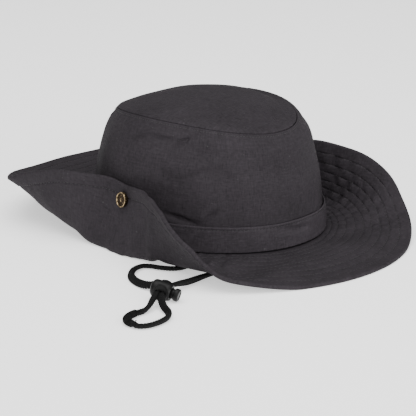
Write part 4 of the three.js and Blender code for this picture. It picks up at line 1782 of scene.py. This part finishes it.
@dataclass
class CordLock:
    """The cord lock: a barrel with a collar round the cord's way, and a sprung plunger with a button."""

    finishes: Finishes
    centre: tuple[float, float, float] = (-146.5, -97.5, 7.5)
    yaw: float = -65.0
    dip: float = 13.0
    radius: float = 6.8
    collar_radius: float = 5.8
    collar_length: float = 14.6
    hole_length: float = 8.1
    hole_height: float = 4.4
    bore_radius: float = 4.1
    bore_depth: float = 7.6
    mouth: float = 6.6
    plunger_radius: float = 3.7
    plunger_foot: float = 5.3
    travel: float = 2.0
    button_radius: float = 4.7
    button_height: float = 3.6
    gap: float = 0.4
    rounding: float = 0.32
    pole: float = 0.2

    def place(self) -> Matrix:
        """From the lock's own frame, plunger along +X and cord along Y, to the row frame."""
        turn = Matrix.Rotation(np.radians(self.yaw), 4, "Z") @ Matrix.Rotation(np.radians(self.dip), 4, "Y")
        return Matrix.Translation(Vector(self.centre)) @ turn

    def bar(self, profile: list[tuple[float, float]], segments: int = 72) -> Patch:
        """A lathe body with its axis along +X."""
        return lathe(profile, segments).moved(Matrix.Rotation(np.radians(90), 4, "Y"))

    def slot(self, low: float, high: float) -> Patch:
        """The cord's way through the lock along Y: a bar whose section is (w c^0.55, h s^0.55).

        Args:
            low: where it starts along the lock's axis.
            high: where it ends.

        Returns:
            The bar that cuts it.
        """
        turn = np.radians(np.linspace(0, 360, 49))[:-1]
        middle = (low + high) / 2
        x = middle + (high - low) / 2 * boxed(np.cos(turn), 0.55)
        z = self.hole_height / 2 * boxed(np.sin(turn), 0.55)
        y = np.array([-2.0, 2.0]) * self.radius
        points = np.stack(np.broadcast_arrays(x[None], y[:, None], z[None]), -1)
        ends = [np.array([middle, end, 0]) for end in y]
        return capped_patch(points, np.zeros((2, 49, 2)), ends[0], ends[1])

    def carve(
        self, name: str, base: Patch, steps: list[tuple[Carve, Patch]], body: Body, node: str
    ) -> bpy.types.Object:
        """Joins and cuts solids, rounds the edges that are left, and bakes the result.

        Args:
            name: the piece's name.
            base: the first solid, in the lock's frame.
            steps: what each solid does, and the solid, in order.
            body: the body it rides on.
            node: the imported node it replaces.

        Returns:
            The finished piece.
        """
        solid = base.moved(self.place())
        piece = make_piece(name, solid, self.finishes.plastic, body, (node,))
        tools = []
        for k, (way, patch) in enumerate(steps):
            tool = make_mesh(f"{name}_tool_{k}", patch.moved(self.place()), self.finishes.plastic)
            cut = piece.modifiers.new(f"step_{k}", "BOOLEAN")
            cut.operation, cut.object, cut.solver = way.value, tool, "EXACT"
            tools.append(tool)
        rounding = piece.modifiers.new("rounding", "BEVEL")
        rounding.width, rounding.segments, rounding.limit_method = self.rounding * MM, 2, "ANGLE"
        rounding.angle_limit = np.radians(40)
        baked = bpy.data.meshes.new_from_object(piece.evaluated_get(bpy.context.evaluated_depsgraph_get()))
        piece.modifiers.clear()
        piece.data = baked
        piece.data.set_sharp_from_angle(angle=np.radians(42))
        for tool in tools:
            bpy.data.objects.remove(tool)
        return piece

    def barrel(self) -> bpy.types.Object:
        """The barrel: a domed drum, bored for the plunger, with a collar round the cord's way.

        Its domed end is (r cos(a)^0.5, -end + 0.42 end (1 - sin a)), and the rest is lathe profiles.

        Returns:
            The piece.
        """
        r, end, pole = self.radius, self.bore_depth + 1.3, self.pole
        turn = np.radians(np.linspace(86, 0, 12))
        profile = [(pole, -end)]
        profile += [(r * 0.97 * np.cos(a) ** 0.5, -end + end * 0.42 * (1 - np.sin(a))) for a in turn]
        profile += [(r * 0.99, -1.5), (r, 0), (r * 0.985, 2.6), (r * 0.95, 4.6)]
        profile += [(r * 0.90, 5.8), (r * 0.82, self.mouth), (pole, self.mouth)]
        c, half = self.collar_radius, self.collar_length / 2
        edge = [(c, half - 0.7), (c - 0.2, half - 0.2), (c - 0.7, half), (pole, half)]
        ring = [(radius, -height) for radius, height in edge[::-1]] + edge
        collar = lathe(ring, 72).moved(Matrix.Rotation(np.radians(90), 4, "X"))
        deep, past = -self.bore_depth, self.mouth + 2
        bore = self.bar([(pole, deep), (self.bore_radius, deep), (self.bore_radius, past), (pole, past)])
        way = self.slot(-self.hole_length / 2, self.hole_length / 2)
        steps = [(Carve.JOIN, collar), (Carve.CUT, bore), (Carve.CUT, way)]
        return self.carve("cord_lock_barrel", self.bar(profile), steps, Body.HAT, "cord_lock_body")

    def plunger(self) -> bpy.types.Object:
        """The plunger: a slotted stem with a round, slightly dished button, as one lathe profile.

        Returns:
            The piece.
        """
        foot, stem, pole = -self.plunger_foot, self.plunger_radius, self.pole
        neck = self.mouth + self.travel + self.gap
        b, top = self.button_radius, neck + self.button_height
        profile = [(pole, foot), (stem - 0.4, foot), (stem, foot + 0.4), (stem, neck)]
        dish = top - 0.35
        profile += [(b * 0.92, neck), (b, neck + 0.6), (b, top - 1.0), (b * 0.95, dish), (b * 0.86, top)]
        profile += [(b * 0.70, top), (b * 0.62, dish), (pole, dish)]
        steps = [(Carve.CUT, self.slot(-self.hole_length / 2, self.hole_length / 2 + self.travel))]
        return self.carve("cord_lock_button", self.bar(profile), steps, Body.PLUNGER, "cord_lock_plunger")

    def build(self) -> list[bpy.types.Object]:
        """Makes the barrel and the plunger."""
        return [self.barrel(), self.plunger()]


# Studio


@dataclass(frozen=True)
class Lamp:
    """A square soft light: where it hangs and the point it faces, both in metres, its side and its watts."""

    name: str
    place: tuple[float, float, float]
    aim: tuple[float, float, float]
    size: float
    power: float

    def hang(self) -> None:
        """Puts the light into the scene, facing its aim."""
        data = bpy.data.lights.new(self.name, "AREA")
        data.shape, data.size, data.energy = "SQUARE", self.size, self.power
        lamp = bpy.data.objects.new(self.name, data)
        lamp.location = self.place
        lamp.rotation_mode = "QUATERNION"
        lamp.rotation_quaternion = (Vector(self.aim) - Vector(self.place)).to_track_quat("-Z", "Y")
        bpy.context.scene.collection.objects.link(lamp)


@dataclass
class Studio:
    """A pale floor, soft light from above and from two sides, and the camera."""

    azimuth: float = -46.0
    elevation: float = 15.5
    distance: float = 1400.0
    target: tuple[float, float, float] = (0.0, 0.0, 57.0)
    target_px: tuple[float, float] = (207.5, 158.1)
    focal_px: float = 1755.6
    table_half: float = 8.0
    table_glow: float = 0.72
    sky: float = 0.6
    lamps: tuple[Lamp, ...] = (
        Lamp("overhead", (-0.3, -0.2, 1.8), (0, 0, 0), 2.0, 42.0),
        Lamp("front", (-0.5, -2.1, 0.6), (0, 0, 0.05), 1.4, 38.0),
        Lamp("side", (-2.1, -0.6, 0.7), (0, 0, 0.05), 1.4, 11.0),
    )

    def camera(self) -> None:
        """Stands the camera where the photograph was taken, looking at the frame's middle."""
        a, e = np.radians(self.azimuth), np.radians(self.elevation)
        back = np.array([np.sin(a) * np.cos(e), -np.cos(a) * np.cos(e), np.sin(e)])
        right = np.array([np.cos(a), np.sin(a), 0.0])
        up = np.cross(back, right)
        middle = PICTURE_PX / 2
        off_x = (middle - self.target_px[0]) / self.focal_px
        off_y = (middle - self.target_px[1]) / self.focal_px
        look = right * off_x - up * off_y - back
        data = bpy.data.cameras.new("camera")
        data.sensor_width, data.sensor_fit = SENSOR_MM, "HORIZONTAL"
        data.lens = SENSOR_MM * self.focal_px / PICTURE_PX
        data.clip_start, data.clip_end = 0.05, 50.0
        camera = bpy.data.objects.new("camera", data)
        camera.location = Vector((np.array(self.target) + back * self.distance).tolist()) * MM
        camera.rotation_mode = "QUATERNION"
        camera.rotation_quaternion = Vector(look.tolist()).to_track_quat("-Z", "Y")
        bpy.context.scene.collection.objects.link(camera)
        bpy.context.scene.camera = camera

    def floor(self) -> None:
        """A wide white light table, softly lit from below as well."""
        f = NodeFinish("floor_white")
        tone = f.noise(f.object_place(), 3.0, 2.0, 0.5)
        material = f.shade(
            Base_Color=f.blend(tone, grey(0.93), grey(0.95)),
            Roughness=0.9,
            Specular_IOR_Level=0.1,
            Emission_Color=(1.0, 1.0, 1.0),
            Emission_Strength=self.table_glow,
        )
        mesh = bpy.data.meshes.new("floor")
        corners = np.array([(-1, -1, 0), (1, -1, 0), (1, 1, 0), (-1, 1, 0)]) * self.table_half
        mesh.from_pydata(corners.tolist(), [], [(0, 1, 2, 3)])
        floor = bpy.data.objects.new("floor", mesh)
        floor.data.materials.append(material)
        bpy.context.scene.collection.objects.link(floor)

    def light(self) -> None:
        """Soft light from above and all round."""
        world = bpy.data.worlds.new("studio")
        world.use_nodes = True
        world.node_tree.nodes["Background"].inputs["Color"].default_value = (1, 1, 1, 1)
        world.node_tree.nodes["Background"].inputs["Strength"].default_value = self.sky
        bpy.context.scene.world = world
        for lamp in self.lamps:
            lamp.hang()

    def build(self) -> None:
        """Sets up the floor and the lights."""
        self.floor()
        self.light()


def main() -> None:
    """Builds the hat in order: camera and cords first, then cloth and snaps."""
    logging.basicConfig(level=logging.INFO, format="%(name)s: %(message)s")
    studio = Studio()
    studio.camera()
    finishes = Finishes()
    lock = CordLock(finishes).build()
    ChinCord(finishes).build(lock)
    brim = Brim(finishes)
    brim.build()
    Crown(finishes).build()
    Snaps(finishes, brim).build()
    studio.build()


if __name__ == "__main__":
    main()
